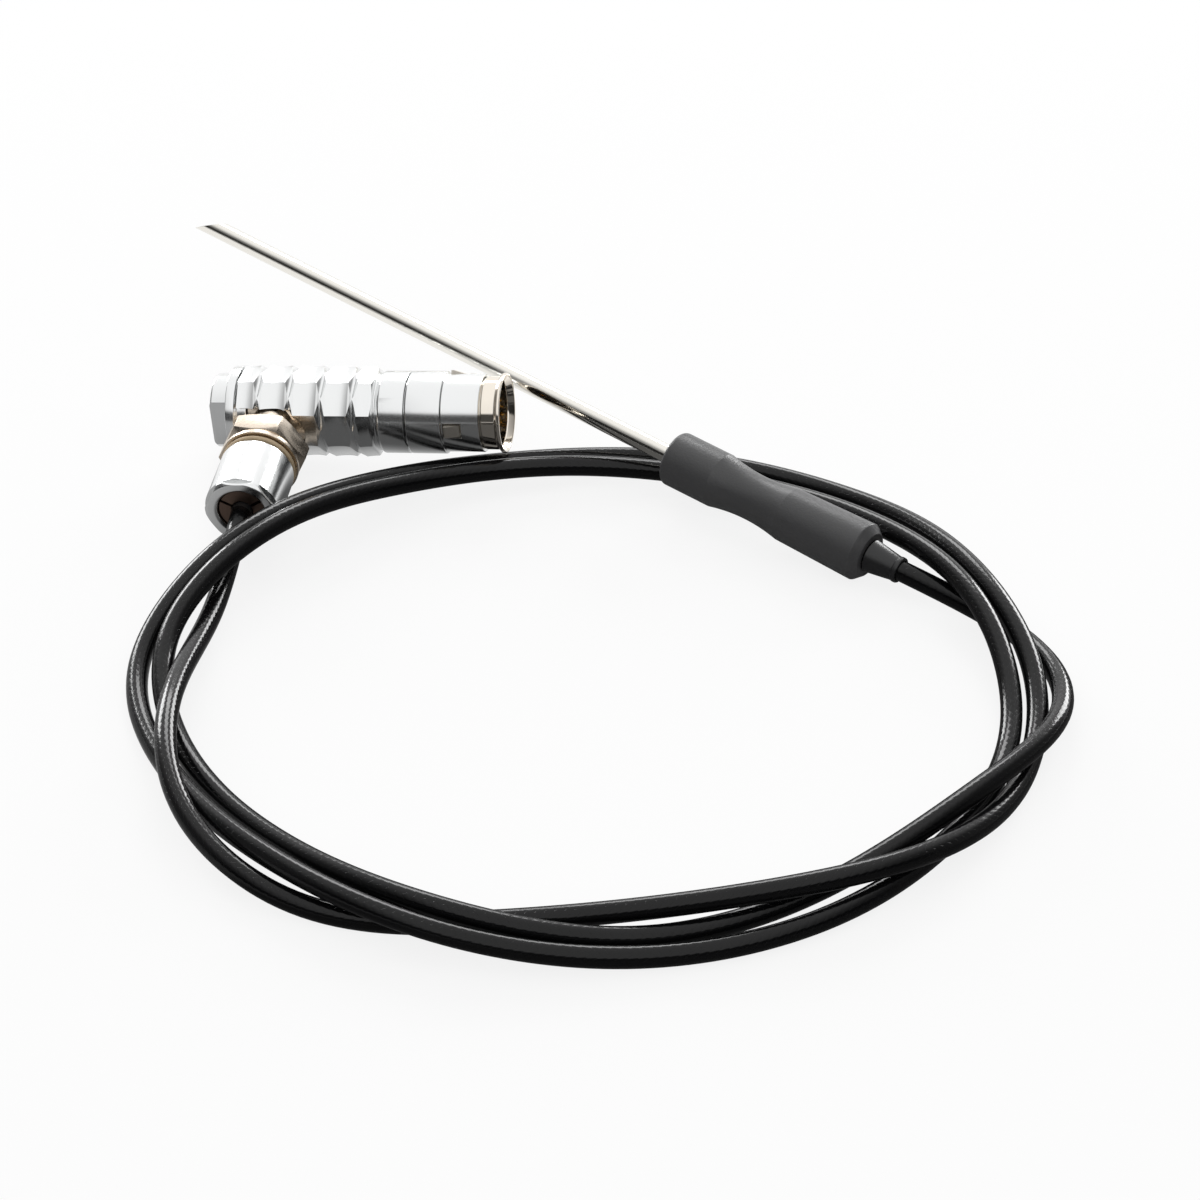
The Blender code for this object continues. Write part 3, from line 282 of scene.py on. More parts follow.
probe = axes_of(relief_end, probe_axis, Vector((0.0, 0.0, -1.0)))
needle_radius = 0.0015
needle_rear = 0.0216
needle_tip = 0.14355
needle = spun(
    "needle",
    [(0.0, needle_tip), (needle_radius, needle_tip), (needle_radius, needle_rear),
     (0.0, needle_rear)],
    probe, 64, closed=False,
)
point_angle = math.radians(29.0)
point_turn = math.radians(-27.0)
point_side = Vector((-math.cos(point_turn), math.sin(point_turn), 0.0))
point_normal = Vector((0.0, 0.0, math.sin(point_angle))) + point_side * math.cos(point_angle)
point_place = Vector((0.0, 0.0, needle_tip - needle_radius / math.tan(point_angle)))
work = bmesh.new()
work.from_mesh(needle.data)
cut = bmesh.ops.bisect_plane(
    work, geom=work.verts[:] + work.edges[:] + work.faces[:], clear_outer=True,
    plane_co=probe @ point_place, plane_no=probe.to_3x3() @ point_normal,
)
rim = [item for item in cut["geom_cut"] if isinstance(item, bmesh.types.BMEdge)]
bmesh.ops.edgeloop_fill(work, edges=rim)
bmesh.ops.bevel(
    work, geom=rim, offset=0.00005, offset_type="OFFSET", segments=2, profile=0.5,
    affect="EDGES", material=-1,
)
bmesh.ops.recalc_face_normals(work, faces=work.faces)
work.to_mesh(needle.data)
work.free()

# Bright drawn 18-8 stainless: near-mirror, with lines a few hundredths of a millimetre wide
# along it that smear its reflections sideways.
steel = bpy.data.materials.new("Bright drawn stainless steel")
steel.use_nodes = True
tree = steel.node_tree
shader = tree.nodes["Principled BSDF"]
shader.inputs["Base Color"].default_value = colour("#ebe8e1")
shader.inputs["Metallic"].default_value = 1.0
place = add(tree, "ShaderNodeTexCoord")
turned_to = add(
    tree, "ShaderNodeMapping",
    {"Rotation": (0.0, math.radians(5.91), 0.0), "Scale": (30.0, 9000.0, 9000.0)},
    {"Vector": place.outputs["Object"]},
)
lines = add(tree, "ShaderNodeTexNoise", {"Scale": 1.0, "Detail": 2.0},
            {"Vector": turned_to.outputs[0]})
gloss = add(
    tree, "ShaderNodeMapRange",
    {"From Min": 0.3, "From Max": 0.7, "To Min": 0.10, "To Max": 0.20},
    {"Value": lines.outputs["Fac"]},
)
drawn = add(tree, "ShaderNodeBump", {"Strength": 0.12, "Distance": 0.00002},
            {"Height": lines.outputs["Fac"]})
tree.links.new(gloss.outputs["Result"], shader.inputs["Roughness"])
tree.links.new(drawn.outputs["Normal"], shader.inputs["Normal"])
dress(needle, steel, "probe_and_plug", "needle_steel", "needle_sheath")


# Handle. One piece of anthracite polyamide, moulded and then turned: a short thick end round
# the needle, a hollow waist for the fingers, a slight cone, and a chamfer at the cable.

handle_rear = 0.0058
handle_front = 0.04355
front_radius = 0.0045
shoulder_radius = 0.0044
front_round = 0.0008
waist_front = 0.03445
waist_length = 0.0131
waist_dip = 0.000725
waist = []
for step in range(33):
    share = step / 32
    chord = front_radius + (shoulder_radius - front_radius) * share
    dip = waist_dip * (1.0 - (2.0 * share - 1.0) ** 2)
    waist.append((chord - dip, waist_front - waist_length * share))
round_end = [
    (front_radius - front_round + front_round * math.cos(a),
     handle_front - front_round + front_round * math.sin(a))
    for a in [math.radians(90.0 - 5.0 * k) for k in range(19)]
]
handle = spun(
    "handle",
    [(0.00165, handle_front - 0.0003), (0.00175, handle_front)] + round_end + waist
    + [(0.00475, handle_rear + 0.00142), (0.00469, handle_rear + 0.00128),
       (0.00366, handle_rear + 0.00006), (0.0035, handle_rear), (0.00255, handle_rear),
       (0.00255, 0.0400), (0.00165, 0.0400)],
    probe, 96,
)
# Matt polyamide from a spark-eroded mould: near-black grey, with a fine grain that gives a
# wide soft sheen.
anthracite = bpy.data.materials.new("Anthracite moulded polyamide")
anthracite.use_nodes = True
tree = anthracite.node_tree
shader = tree.nodes["Principled BSDF"]
shader.inputs["Base Color"].default_value = colour("#434344")
shader.inputs["IOR"].default_value = 1.50
place = add(tree, "ShaderNodeTexCoord")
grain = add(tree, "ShaderNodeTexNoise", {"Scale": 2600.0, "Detail": 4.0},
            {"Vector": place.outputs["Object"]})
spark = add(tree, "ShaderNodeBump", {"Strength": 0.6, "Distance": 0.00007},
            {"Height": grain.outputs["Fac"]})
cloud = add(tree, "ShaderNodeTexNoise", {"Scale": 420.0, "Detail": 2.0},
            {"Vector": place.outputs["Object"]})
gloss = add(
    tree, "ShaderNodeMapRange",
    {"From Min": 0.3, "From Max": 0.7, "To Min": 0.34, "To Max": 0.44},
    {"Value": cloud.outputs["Fac"]},
)
tree.links.new(gloss.outputs["Result"], shader.inputs["Roughness"])
tree.links.new(spark.outputs["Normal"], shader.inputs["Normal"])
dress(handle, anthracite, "probe_and_plug", "handle_plastic", "handle_grip", angle=9.0)


# Strain relief. A short black rubber boot, pushed into the handle's rear, tapered to a thin
# lip where the cable leaves it.

boot = spun(
    "boot",
    [(0.0017, handle_rear), (0.0027, handle_rear - 0.0003), (0.002665, 0.0054),
     (0.002005, 0.00085), (0.00209, 0.00070), (0.00212, 0.00045), (0.00209, 0.00015),
     (0.00200, 0.0), (0.00175, 0.0), (0.0017, 0.00005)],
    probe, 64,
)
# Moulded rubber: black, a little shiny, with the mould's fine blasted grain.
rubber = bpy.data.materials.new("Black moulded rubber")
rubber.use_nodes = True
tree = rubber.node_tree
shader = tree.nodes["Principled BSDF"]
shader.inputs["Base Color"].default_value = colour("#202021")
shader.inputs["IOR"].default_value = 1.50
place = add(tree, "ShaderNodeTexCoord")
grain = add(tree, "ShaderNodeTexNoise", {"Scale": 3600.0, "Detail": 2.0},
            {"Vector": place.outputs["Object"]})
gloss = add(
    tree, "ShaderNodeMapRange",
    {"From Min": 0.3, "From Max": 0.7, "To Min": 0.28, "To Max": 0.40},
    {"Value": grain.outputs["Fac"]},
)
tree.links.new(gloss.outputs["Result"], shader.inputs["Roughness"])
dress(boot, rubber, "probe_and_plug", "relief_rubber", "strain_relief")


# End cap. Turned brass with a satin chrome finish, screwed into the rear of the release sleeve
# by its spigot, with two flats milled on its boss for a spanner.

def eased(profile, reach, closed=True):
    # The half section with each corner rounded over a short reach
    result = []
    for i, corner in enumerate(profile):
        if not closed and i in (0, len(profile) - 1):
            result.append(corner)
            continue
        here = Vector(corner)
        before = Vector(profile[i - 1]) - here
        after = Vector(profile[(i + 1) % len(profile)]) - here
        start = here + before.normalized() * min(reach, before.length * 0.45)
        end = here + after.normalized() * min(reach, after.length * 0.45)
        for k in range(7):
            t = k / 6
            result.append(tuple(start * (1 - t) ** 2 + here * 2 * t * (1 - t) + end * t * t))
    return result


def prism(name, outlines, half_width, axes):
    # Outlines in the local XZ plane, drawn out to both sides along local Y
    work = bmesh.new()
    for outline in outlines:
        face = work.faces.new([work.verts.new((x, -half_width, z)) for x, z in outline])
        grown = bmesh.ops.extrude_face_region(work, geom=[face])["geom"]
        verts = [item for item in grown if isinstance(item, bmesh.types.BMVert)]
        bmesh.ops.translate(work, verts=verts, vec=(0.0, 2.0 * half_width, 0.0))
    bmesh.ops.recalc_face_normals(work, faces=work.faces)
    mesh = bpy.data.meshes.new(name)
    work.to_mesh(mesh)
    work.free()
    in_order(mesh)
    mesh.transform(axes)
    made = bpy.data.objects.new(name, mesh)
    scene.collection.objects.link(made)
    return made


def machined(piece, tools, operation="DIFFERENCE"):
    # Cuts the piece with each tool, or joins the tools to it, and clears them away
    for tool in tools:
        step = piece.modifiers.new(tool.name, "BOOLEAN")
        step.operation = operation
        step.solver = "EXACT"
        step.object = tool
    graph = bpy.context.evaluated_depsgraph_get()
    mesh = bpy.data.meshes.new_from_object(piece.evaluated_get(graph))
    in_order(mesh)
    piece.modifiers.clear()
    piece.data = mesh
    for tool in tools:
        bpy.data.objects.remove(tool)


def deburred(piece, width, angle):
    # Breaks the sharp edges that milling leaves
    work = bmesh.new()
    work.from_mesh(piece.data)
    bmesh.ops.remove_doubles(work, verts=work.verts, dist=2e-7)
    bmesh.ops.dissolve_limit(
        work, angle_limit=math.radians(0.5), verts=work.verts, edges=work.edges,
        delimit={"NORMAL"},
    )
    work.to_mesh(piece.data)
    work.free()
    bevel = piece.modifiers.new("deburr", "BEVEL")
    bevel.width = width
    bevel.segments = 2
    bevel.limit_method = "ANGLE"
    bevel.angle_limit = math.radians(angle)
    bevel.use_clamp_overlap = True
    graph = bpy.context.evaluated_depsgraph_get()
    mesh = bpy.data.meshes.new_from_object(piece.evaluated_get(graph))
    piece.modifiers.clear()
    piece.data = mesh


plug = axes_of(plug_rear, plug_axis, leg_axis)
key_turn = math.radians(-6.5)    # flats, sides and lugs stand turned from the leg by this
keyed = plug @ Matrix.Rotation(key_turn, 4, "Z")
boss_radius = 0.0060
boss_flat = 0.0046
flange_radius = 0.0072
spigot_radius = 0.00555
end_cap = spun(
    "end_cap_turned",
    eased(
        [(0.0, 0.0037), (0.00435, 0.0037), (0.00435, 0.0061), (spigot_radius, 0.0061),
         (spigot_radius, 0.0045), (flange_radius, 0.0045), (flange_radius, 0.0030),
         (boss_radius, 0.0030), (boss_radius, 0.0003), (boss_radius - 0.0003, 0.0), (0.0, 0.0)],
        0.00016, closed=False,
    ),
    plug, 144, closed=False,
)
machined(end_cap, [
    prism(
        "boss_flats",
        [[(side * boss_flat, -0.001), (side * 0.008, -0.001), (side * 0.008, 0.0027),
          (side * boss_flat, 0.0027)] for side in (1.0, -1.0)],
        0.008, keyed,
    ),
])
deburred(end_cap, 0.00006, 35.0)

# Satin chrome over turned brass: bright and cool, with a soft edge to each reflection, and
# rings a few hundredths of a millimetre apart that the turning tool left.
satin = bpy.data.materials.new("Satin chromed brass")
satin.use_nodes = True
tree = satin.node_tree
shader = tree.nodes["Principled BSDF"]
shader.inputs["Base Color"].default_value = colour("#e9eaea")
shader.inputs["Metallic"].default_value = 1.0
place = add(tree, "ShaderNodeTexCoord")
to_plug = plug.to_3x3().inverted().to_euler()
turned_to = add(tree, "ShaderNodeMapping", {"Rotation": to_plug},
                {"Vector": place.outputs["Object"]})
stretched = add(tree, "ShaderNodeMapping", {"Scale": (1500.0, 1500.0, 14000.0)},
                {"Vector": turned_to.outputs[0]})
rings = add(tree, "ShaderNodeTexNoise", {"Scale": 1.0, "Detail": 3.0},
            {"Vector": stretched.outputs[0]})
gloss = add(
    tree, "ShaderNodeMapRange",
    {"From Min": 0.3, "From Max": 0.7, "To Min": 0.15, "To Max": 0.23},
    {"Value": rings.outputs["Fac"]},
)
turned = add(tree, "ShaderNodeBump", {"Strength": 0.10, "Distance": 0.00001},
             {"Height": rings.outputs["Fac"]})
tree.links.new(gloss.outputs["Result"], shader.inputs["Roughness"])
tree.links.new(turned.outputs["Normal"], shader.inputs["Normal"])
dress(end_cap, satin, "release", "satin_chrome", "end_cap")


# Release sleeve. Turned brass, milled to eight sides that dip between the rows, with a
# V-shaped notch across every corner in each of four rows, so that the fingers hold it. It
# slides back on the elbow to free the latch, and has a slot for the elbow's leg.

facet_half = math.pi / 8
grip_radius = 0.0075
side_radius = grip_radius * math.cos(facet_half) - 0.00002
groove_radius = 0.00625
collar_radius = 0.00665
sleeve_bore = 0.0057
row_pitch = 0.00525
rows = [0.0082 + row_pitch * i for i in range(4)]
release_sleeve = spun(
    "release_sleeve_turned",
    eased(
        [(collar_radius, 0.03235), (collar_radius, 0.0282), (groove_radius, 0.0276),
         (groove_radius, 0.0273), (grip_radius, 0.0267), (grip_radius, 0.0048),
         (sleeve_bore, 0.0048), (sleeve_bore, 0.03235)],
        0.00016,
    ),
    keyed, 144,
)
# Each side dips before a row of notches: a long slope down, then a shorter one up to it
dip_depth = 0.00028
dips = []
for row in rows + [rows[-1] + row_pitch]:
    deepest = row - 0.00215
    for slope, shares in ((-0.00295, [1.0 - k / 12 for k in range(12)]),
                          (0.0020, [k / 12 for k in range(13)])):
        dips += [
            (side_radius - dip_depth * (1.0 - share ** 2), deepest + slope * share)
            for share in shares
        ]
dips = [dip for dip in dips if dip[1] < 0.0267] + [(side_radius - dip_depth, 0.0335)]
octagon = [(radius / math.cos(facet_half), height) for radius, height in dips]
eight_sides = spun(
    "eight_sides",
    [(0.0, octagon[-1][1])] + octagon[::-1] + [(0.0, octagon[0][1])],
    keyed @ Matrix.Rotation(facet_half, 4, "Z"), 8, closed=False,
)
machined(release_sleeve, [eight_sides], "INTERSECT")
# A notch is a V with a narrower V at its root, drawn out past the corner that it cuts
root = side_radius * math.cos(facet_half) + 0.00003
root_half = 0.00032
shoulder = root + 0.00022
outer = grip_radius + 0.001
mouth_half = root_half + 0.00063 / (grip_radius - shoulder) * (outer - shoulder)
notches = [
    [(root, row), (shoulder, row - root_half), (outer, row - mouth_half),
     (outer, row + mouth_half), (shoulder, row + root_half)]
    for row in rows
]
machined(release_sleeve, [
    prism("notches", notches, 0.0039,
          keyed @ Matrix.Rotation(facet_half * (2 * index + 1), 4, "Z"))
    for index in range(8)
])
slot_half = 0.0042
slot_end = 0.0118
slot = [
    (slot_half * math.cos(a), slot_end + slot_half * math.sin(a))
    for a in [math.radians(7.5 * k) for k in range(25)]
] + [(-slot_half, 0.0038), (slot_half, 0.0038)]
machined(release_sleeve, [
    prism("leg_slot", [slot], 0.00375,
          plug @ Matrix.Translation((0.00475, 0.0, 0.0)) @ Matrix.Rotation(-math.pi / 2, 4, "Z")),
])
deburred(release_sleeve, 0.00007, 28.0)
dress(release_sleeve, satin, "release", "satin_chrome", "release_sleeve")


# Elbow. One piece of nickel-plated brass: a cross tube inside the sleeve, and the leg with
# its hexagon, chamfered at both ends, and its thread.

leg = axes_of(leg_foot, leg_axis, plug_axis)
hex_corner = 0.0125 / math.sqrt(3.0)
tube_radius = 0.0054
tube_bore = 0.0044
stem_radius = 0.0039
thread_radius = 0.0046
hexagon_mesh = bpy.data.meshes.new("hexagon")
work = bmesh.new()
bmesh.ops.create_cone(
    work, cap_ends=True, segments=6, radius1=hex_corner, radius2=hex_corner, depth=0.0041,
    matrix=Matrix.Translation((0.0, 0.0, 0.01165)) @ Matrix.Rotation(math.pi / 6, 4, "Z"),
)
work.to_mesh(hexagon_mesh)
work.free()
hexagon_mesh.transform(leg)
hexagon = bpy.data.objects.new("hexagon", hexagon_mesh)
scene.collection.objects.link(hexagon)
machined(hexagon, [spun(
    "hexagon_chamfers",
    [(0.0, 0.0147), (hex_corner - 0.0033, 0.0147), (hex_corner + 0.001, 0.01255),
     (hex_corner + 0.001, 0.01075), (hex_corner - 0.0033, 0.0086), (0.0, 0.0086)],
    leg, 144, closed=False,
)], "INTERSECT")
elbow = spun(
    "elbow",
    [(0.0, 0.0292), (tube_radius, 0.0292), (tube_radius, 0.0064), (0.0, 0.0064)], plug, 96,
    closed=False,
)
machined(elbow, [
    spun("stem", [(0.0, 0.0188), (thread_radius - 0.00015, 0.0188), (thread_radius, 0.01865),
                  (thread_radius, 0.0117), (stem_radius, 0.0117), (stem_radius, 0.0),
                  (0.0, 0.0)], leg, 96, closed=False),
    hexagon,
], "UNION")
machined(elbow, [
    spun("cross_bore", [(0.0, 0.0302), (0.0050, 0.0302), (0.0050, 0.0265), (tube_bore, 0.0265),
                        (tube_bore, 0.0079), (0.0, 0.0079)], plug, 64, closed=False),
    spun("leg_bore", [(0.0, 0.0198), (0.0024, 0.0198), (0.0024, 0.0022), (0.0, 0.0022)],
         leg, 64, closed=False),
])
deburred(elbow, 0.00008, 28.0)

# Nickel plate on brass: warm and light, dulled by fine milling marks across the flats.
nickel = bpy.data.materials.new("Warm nickel-plated brass")
nickel.use_nodes = True
tree = nickel.node_tree
shader = tree.nodes["Principled BSDF"]
shader.inputs["Base Color"].default_value = colour("#dfd2c2")
shader.inputs["Metallic"].default_value = 1.0
place = add(tree, "ShaderNodeTexCoord")
to_leg = leg.to_3x3().inverted().to_euler()
turned_to = add(tree, "ShaderNodeMapping", {"Rotation": to_leg},
                {"Vector": place.outputs["Object"]})
stretched = add(tree, "ShaderNodeMapping", {"Scale": (3000.0, 3000.0, 12000.0)},
                {"Vector": turned_to.outputs[0]})
marks = add(tree, "ShaderNodeTexNoise", {"Scale": 1.0, "Detail": 3.0},
            {"Vector": stretched.outputs[0]})
gloss = add(
    tree, "ShaderNodeMapRange",
    {"From Min": 0.3, "From Max": 0.7, "To Min": 0.22, "To Max": 0.34},
    {"Value": marks.outputs["Fac"]},
)
milled = add(tree, "ShaderNodeBump", {"Strength": 0.18, "Distance": 0.00001},
             {"Height": marks.outputs["Fac"]})
tree.links.new(gloss.outputs["Result"], shader.inputs["Roughness"])
tree.links.new(milled.outputs["Normal"], shader.inputs["Normal"])
dress(elbow, nickel, "probe_and_plug", "warm_nickel", "elbow_body")


# Washer and seal. A nickel-plated washer and a tan silicone ring, pinched between the hexagon
# and the nut.

washer_radius = 0.00635
leg_hole = 0.00475
washer = spun(
    "washer",
    eased([(washer_radius, 0.0148), (washer_radius, 0.0140), (leg_hole, 0.0140),
           (leg_hole, 0.0148)], 0.00012),
    leg, 128,
)
dress(washer, nickel, "probe_and_plug", "warm_nickel", "leg_washer")
seal = spun(
    "seal",
    eased([(leg_hole, 0.0159), (0.0059, 0.0159), (0.00605, 0.0155), (0.0059, 0.0151),
           (leg_hole, 0.0151)], 0.00012),
    leg, 128,
)
# Moulded silicone: tan, matt and faintly cloudy.
silicone = bpy.data.materials.new("Tan moulded silicone")
silicone.use_nodes = True
tree = silicone.node_tree
shader = tree.nodes["Principled BSDF"]
shader.inputs["Base Color"].default_value = colour("#b8a486")
shader.inputs["IOR"].default_value = 1.42
place = add(tree, "ShaderNodeTexCoord")
cloud = add(tree, "ShaderNodeTexNoise", {"Scale": 3000.0, "Detail": 2.0},
            {"Vector": place.outputs["Object"]})
gloss = add(
    tree, "ShaderNodeMapRange",
    {"From Min": 0.3, "From Max": 0.7, "To Min": 0.45, "To Max": 0.60},
    {"Value": cloud.outputs["Fac"]},
)
tree.links.new(gloss.outputs["Result"], shader.inputs["Roughness"])
dress(seal, silicone, "probe_and_plug", "seal_elastomer", "seal_ring")


# Collet nut. Turned brass, satin chromed, screwed over the leg: a plain barrel with six short
# spanner flats at its mouth and a countersunk hole for the cable. It is left unmarked.

nut_radius = 0.0060
nut_face = 0.02775
nut = spun(
    "nut",
    eased(
        [(0.0039, nut_face - 0.0004), (0.0043, nut_face), (nut_radius - 0.0005, nut_face),
         (nut_radius, nut_face - 0.0005), (nut_radius, 0.0165), (nut_radius - 0.0003, 0.0162),
         (leg_hole, 0.0162), (leg_hole, 0.0191),
         (0.00435, 0.0194), (0.0039, 0.0241)],
        0.00018,
    ),
    leg, 144,
)
# What is cut from its mouth: a ring with a six-sided hole
flats_tool = spun(
    "flats_tool", [(0.008, 0.0287), (0.008, 0.02675), (0.0045, 0.02675), (0.0045, 0.0287)],
    leg, 64,
)
flats_corner = 0.0109 / math.sqrt(3.0)
flats_hole = bpy.data.meshes.new("flats_hole")
work = bmesh.new()
bmesh.ops.create_cone(
    work, cap_ends=True, segments=6, radius1=flats_corner, radius2=flats_corner, depth=0.006,
    matrix=Matrix.Translation((0.0, 0.0, 0.0277)) @ Matrix.Rotation(math.pi / 6, 4, "Z"),
)
work.to_mesh(flats_hole)
work.free()
flats_hole.transform(leg)
hole = bpy.data.objects.new("flats_hole", flats_hole)
scene.collection.objects.link(hole)
machined(flats_tool, [hole])
machined(nut, [flats_tool])
deburred(nut, 0.00006, 30.0)
# The same satin chrome, with its turning rings square to the leg.
leg_satin = satin.copy()
leg_satin.name = "Satin chromed brass on the leg"
for item in leg_satin.node_tree.nodes:
    if item.type == "MAPPING" and item.inputs["Scale"].default_value[0] == 1.0:
        item.inputs["Rotation"].default_value = to_leg
dress(nut, leg_satin, "probe_and_plug", "satin_chrome", "collet_nut")


# Collet. A brown brass cone, slit into three jaws that the nut closes on the cable.

collet_bore = 0.0017
collet_radius = 0.00375
slit_half = 0.00025
collet = spun(
    "collet_jaws",
    eased(
        [(collet_bore, 0.02705), (collet_radius, 0.02705), (collet_radius, 0.0241),
         (0.0042, 0.01955), (0.0042, 0.0191), (collet_bore, 0.0191)],
        0.00015,
    ),
    leg, 96,
)
machined(collet, [
    prism("slit", [[(0.0009, 0.02255), (0.005, 0.02255), (0.005, 0.028), (0.0009, 0.028)]],
          slit_half, leg @ Matrix.Rotation(2.0 * math.pi * index / 3 + math.pi / 6, 4, "Z"))
    for index in range(3)
])
# Turned brass gone brown: dull, with a faint grain.
brown_brass = bpy.data.materials.new("Brown turned brass")
brown_brass.use_nodes = True
tree = brown_brass.node_tree
shader = tree.nodes["Principled BSDF"]
shader.inputs["Base Color"].default_value = colour("#6b5a50")
shader.inputs["Metallic"].default_value = 1.0
place = add(tree, "ShaderNodeTexCoord")
grain = add(tree, "ShaderNodeTexNoise", {"Scale": 5000.0, "Detail": 2.0},
            {"Vector": place.outputs["Object"]})
gloss = add(
    tree, "ShaderNodeMapRange",
    {"From Min": 0.3, "From Max": 0.7, "To Min": 0.35, "To Max": 0.50},
    {"Value": grain.outputs["Fac"]},
)
tree.links.new(gloss.outputs["Result"], shader.inputs["Roughness"])
dress(collet, brown_brass, "probe_and_plug", "collet_brass", "collet")


# Front shell. Turned brass, satin chromed: a collar, a slightly smaller nose, and a window
# for each of the three latch lugs.

nose_radius = 0.0063
nose_bore = 0.00575
window_half = 0.0013
front_shell = spun(
    "front_shell_turned",
    eased(
        [(nose_radius, 0.04455), (nose_radius, 0.03845), (collar_radius, 0.03830),
         (collar_radius, 0.03265), (tube_radius, 0.03265), (tube_radius, 0.0295),
         (0.00485, 0.0295), (0.00485, 0.0268), (0.0045, 0.0268), (0.0045, 0.03325),
         (nose_bore, 0.03325), (nose_bore, 0.04455)],
        0.00014,
    ),
    keyed, 144,
)
machined(front_shell, [
    prism("window", [[(0.0053, 0.03865), (0.0078, 0.03865), (0.0078, 0.04165),
                      (0.0053, 0.04165)]], window_half,
          keyed @ Matrix.Rotation(2.0 * math.pi * index / 3, 4, "Z"))
    for index in range(3)
])
deburred(front_shell, 0.00005, 35.0)
dress(front_shell, satin, "probe_and_plug", "satin_chrome", "front_shell")


# Front ring. Brass, nickel plated and polished, pressed into the nose, with a lip that flares
# round the mouth.

ring_radius = 0.0059
lip_radius = 0.00645
mouth_face = 0.0480
front_ring = spun(
    "front_ring_turned",
    eased(
        [(0.0060, mouth_face), (0.00633, mouth_face), (lip_radius, 0.04785),
         (lip_radius, 0.0475), (ring_radius, 0.0471), (ring_radius, 0.04485),
         (0.0056, 0.04485), (0.0056, 0.04305), (0.0053, 0.04305), (0.0053, 0.0470)],
        0.00018,
    ),
    plug, 144,
)
# Polished nickel: warm and nearly a mirror, with crisp light and dark bands.
polished = bpy.data.materials.new("Polished nickel-plated brass")
polished.use_nodes = True
tree = polished.node_tree
shader = tree.nodes["Principled BSDF"]
shader.inputs["Base Color"].default_value = colour("#eee6da")
shader.inputs["Metallic"].default_value = 1.0
place = add(tree, "ShaderNodeTexCoord")
turned_to = add(tree, "ShaderNodeMapping", {"Rotation": to_plug},
                {"Vector": place.outputs["Object"]})
stretched = add(tree, "ShaderNodeMapping", {"Scale": (600.0, 600.0, 9000.0)},
                {"Vector": turned_to.outputs[0]})
buffed = add(tree, "ShaderNodeTexNoise", {"Scale": 1.0, "Detail": 2.0},
             {"Vector": stretched.outputs[0]})
gloss = add(
    tree, "ShaderNodeMapRange",
    {"From Min": 0.3, "From Max": 0.7, "To Min": 0.05, "To Max": 0.10},
    {"Value": buffed.outputs["Fac"]},
)
tree.links.new(gloss.outputs["Result"], shader.inputs["Roughness"])
dress(front_ring, polished, "probe_and_plug", "bright_nickel", "front_ring")


# Latch sleeve and inner pieces. They keep their CAD solids: the sprung sleeve with its three
# lugs, the insulator and its contacts, and what is closed inside the leg, handle and needle.

# Nickel-plated spring bronze: a light warm metal, matt from tumbling.
bronze = bpy.data.materials.new("Nickel-plated spring bronze")
bronze.use_nodes = True
tree = bronze.node_tree
shader = tree.nodes["Principled BSDF"]
shader.inputs["Base Color"].default_value = colour("#d6d0c6")
shader.inputs["Metallic"].default_value = 1.0
place = add(tree, "ShaderNodeTexCoord")
grain = add(tree, "ShaderNodeTexNoise", {"Scale": 6000.0, "Detail": 2.0},
            {"Vector": place.outputs["Object"]})
gloss = add(
    tree, "ShaderNodeMapRange",
    {"From Min": 0.3, "From Max": 0.7, "To Min": 0.42, "To Max": 0.55},
    {"Value": grain.outputs["Fac"]},
)
tree.links.new(gloss.outputs["Result"], shader.inputs["Roughness"])

inner_finishes = [
    ("Gold-plated contact", "#d9ae5a", 1.0, 0.18,
     ["contact_pin_1", "contact_pin_2", "contact_pin_3", "contact_pin_4"]),
    ("Dark brown insulator resin", "#3a2f27", 0.0, 0.45, ["insulator"]),
    ("White alumina ceramic", "#e6e4de", 0.0, 0.50, ["sensor_element", "ceramic_tube"]),
    ("Tinned copper", "#c9b9a8", 1.0, 0.32,
     ["lead_wire_1", "lead_wire_2", "splice_1", "splice_2"]),
    ("Red wire insulation", "#b02a20", 0.0, 0.40, ["conductor_1", "core_wire_1"]),
    ("White wire insulation", "#dededa", 0.0, 0.40, ["conductor_2", "core_wire_2"]),
]
inner = [("latch_sleeve", bronze), ("half_shell_1", nickel), ("half_shell_2", nickel),
         ("crimp_ferrule", polished), ("cable_root", rubber), ("cable_tail", rubber)]
for finish, code, metallic, roughness, names in inner_finishes:
    made = bpy.data.materials.new(finish)
    made.use_nodes = True
    tree = made.node_tree
    shader = tree.nodes["Principled BSDF"]
    shader.inputs["Base Color"].default_value = colour(code)
    shader.inputs["Metallic"].default_value = metallic
    place = add(tree, "ShaderNodeTexCoord")
    grain = add(tree, "ShaderNodeTexNoise", {"Scale": 4000.0, "Detail": 2.0},
                {"Vector": place.outputs["Object"]})
    gloss = add(
        tree, "ShaderNodeMapRange",
        {"From Min": 0.3, "From Max": 0.7, "To Min": roughness, "To Max": roughness + 0.12},
        {"Value": grain.outputs["Fac"]},
    )
    tree.links.new(gloss.outputs["Result"], shader.inputs["Roughness"])
    inner += [(name, made) for name in names]
for name, material in inner:
    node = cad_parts[name]
    node.data.materials.clear()
    node.data.materials.append(material)
    node.data.shade_smooth()
    weld = node.modifiers.new("Weld", "WELD")
    weld.merge_threshold = 0.000001
    split = node.modifiers.new("EdgeSplit", "EDGE_SPLIT")
    split.split_angle = math.radians(30.0)
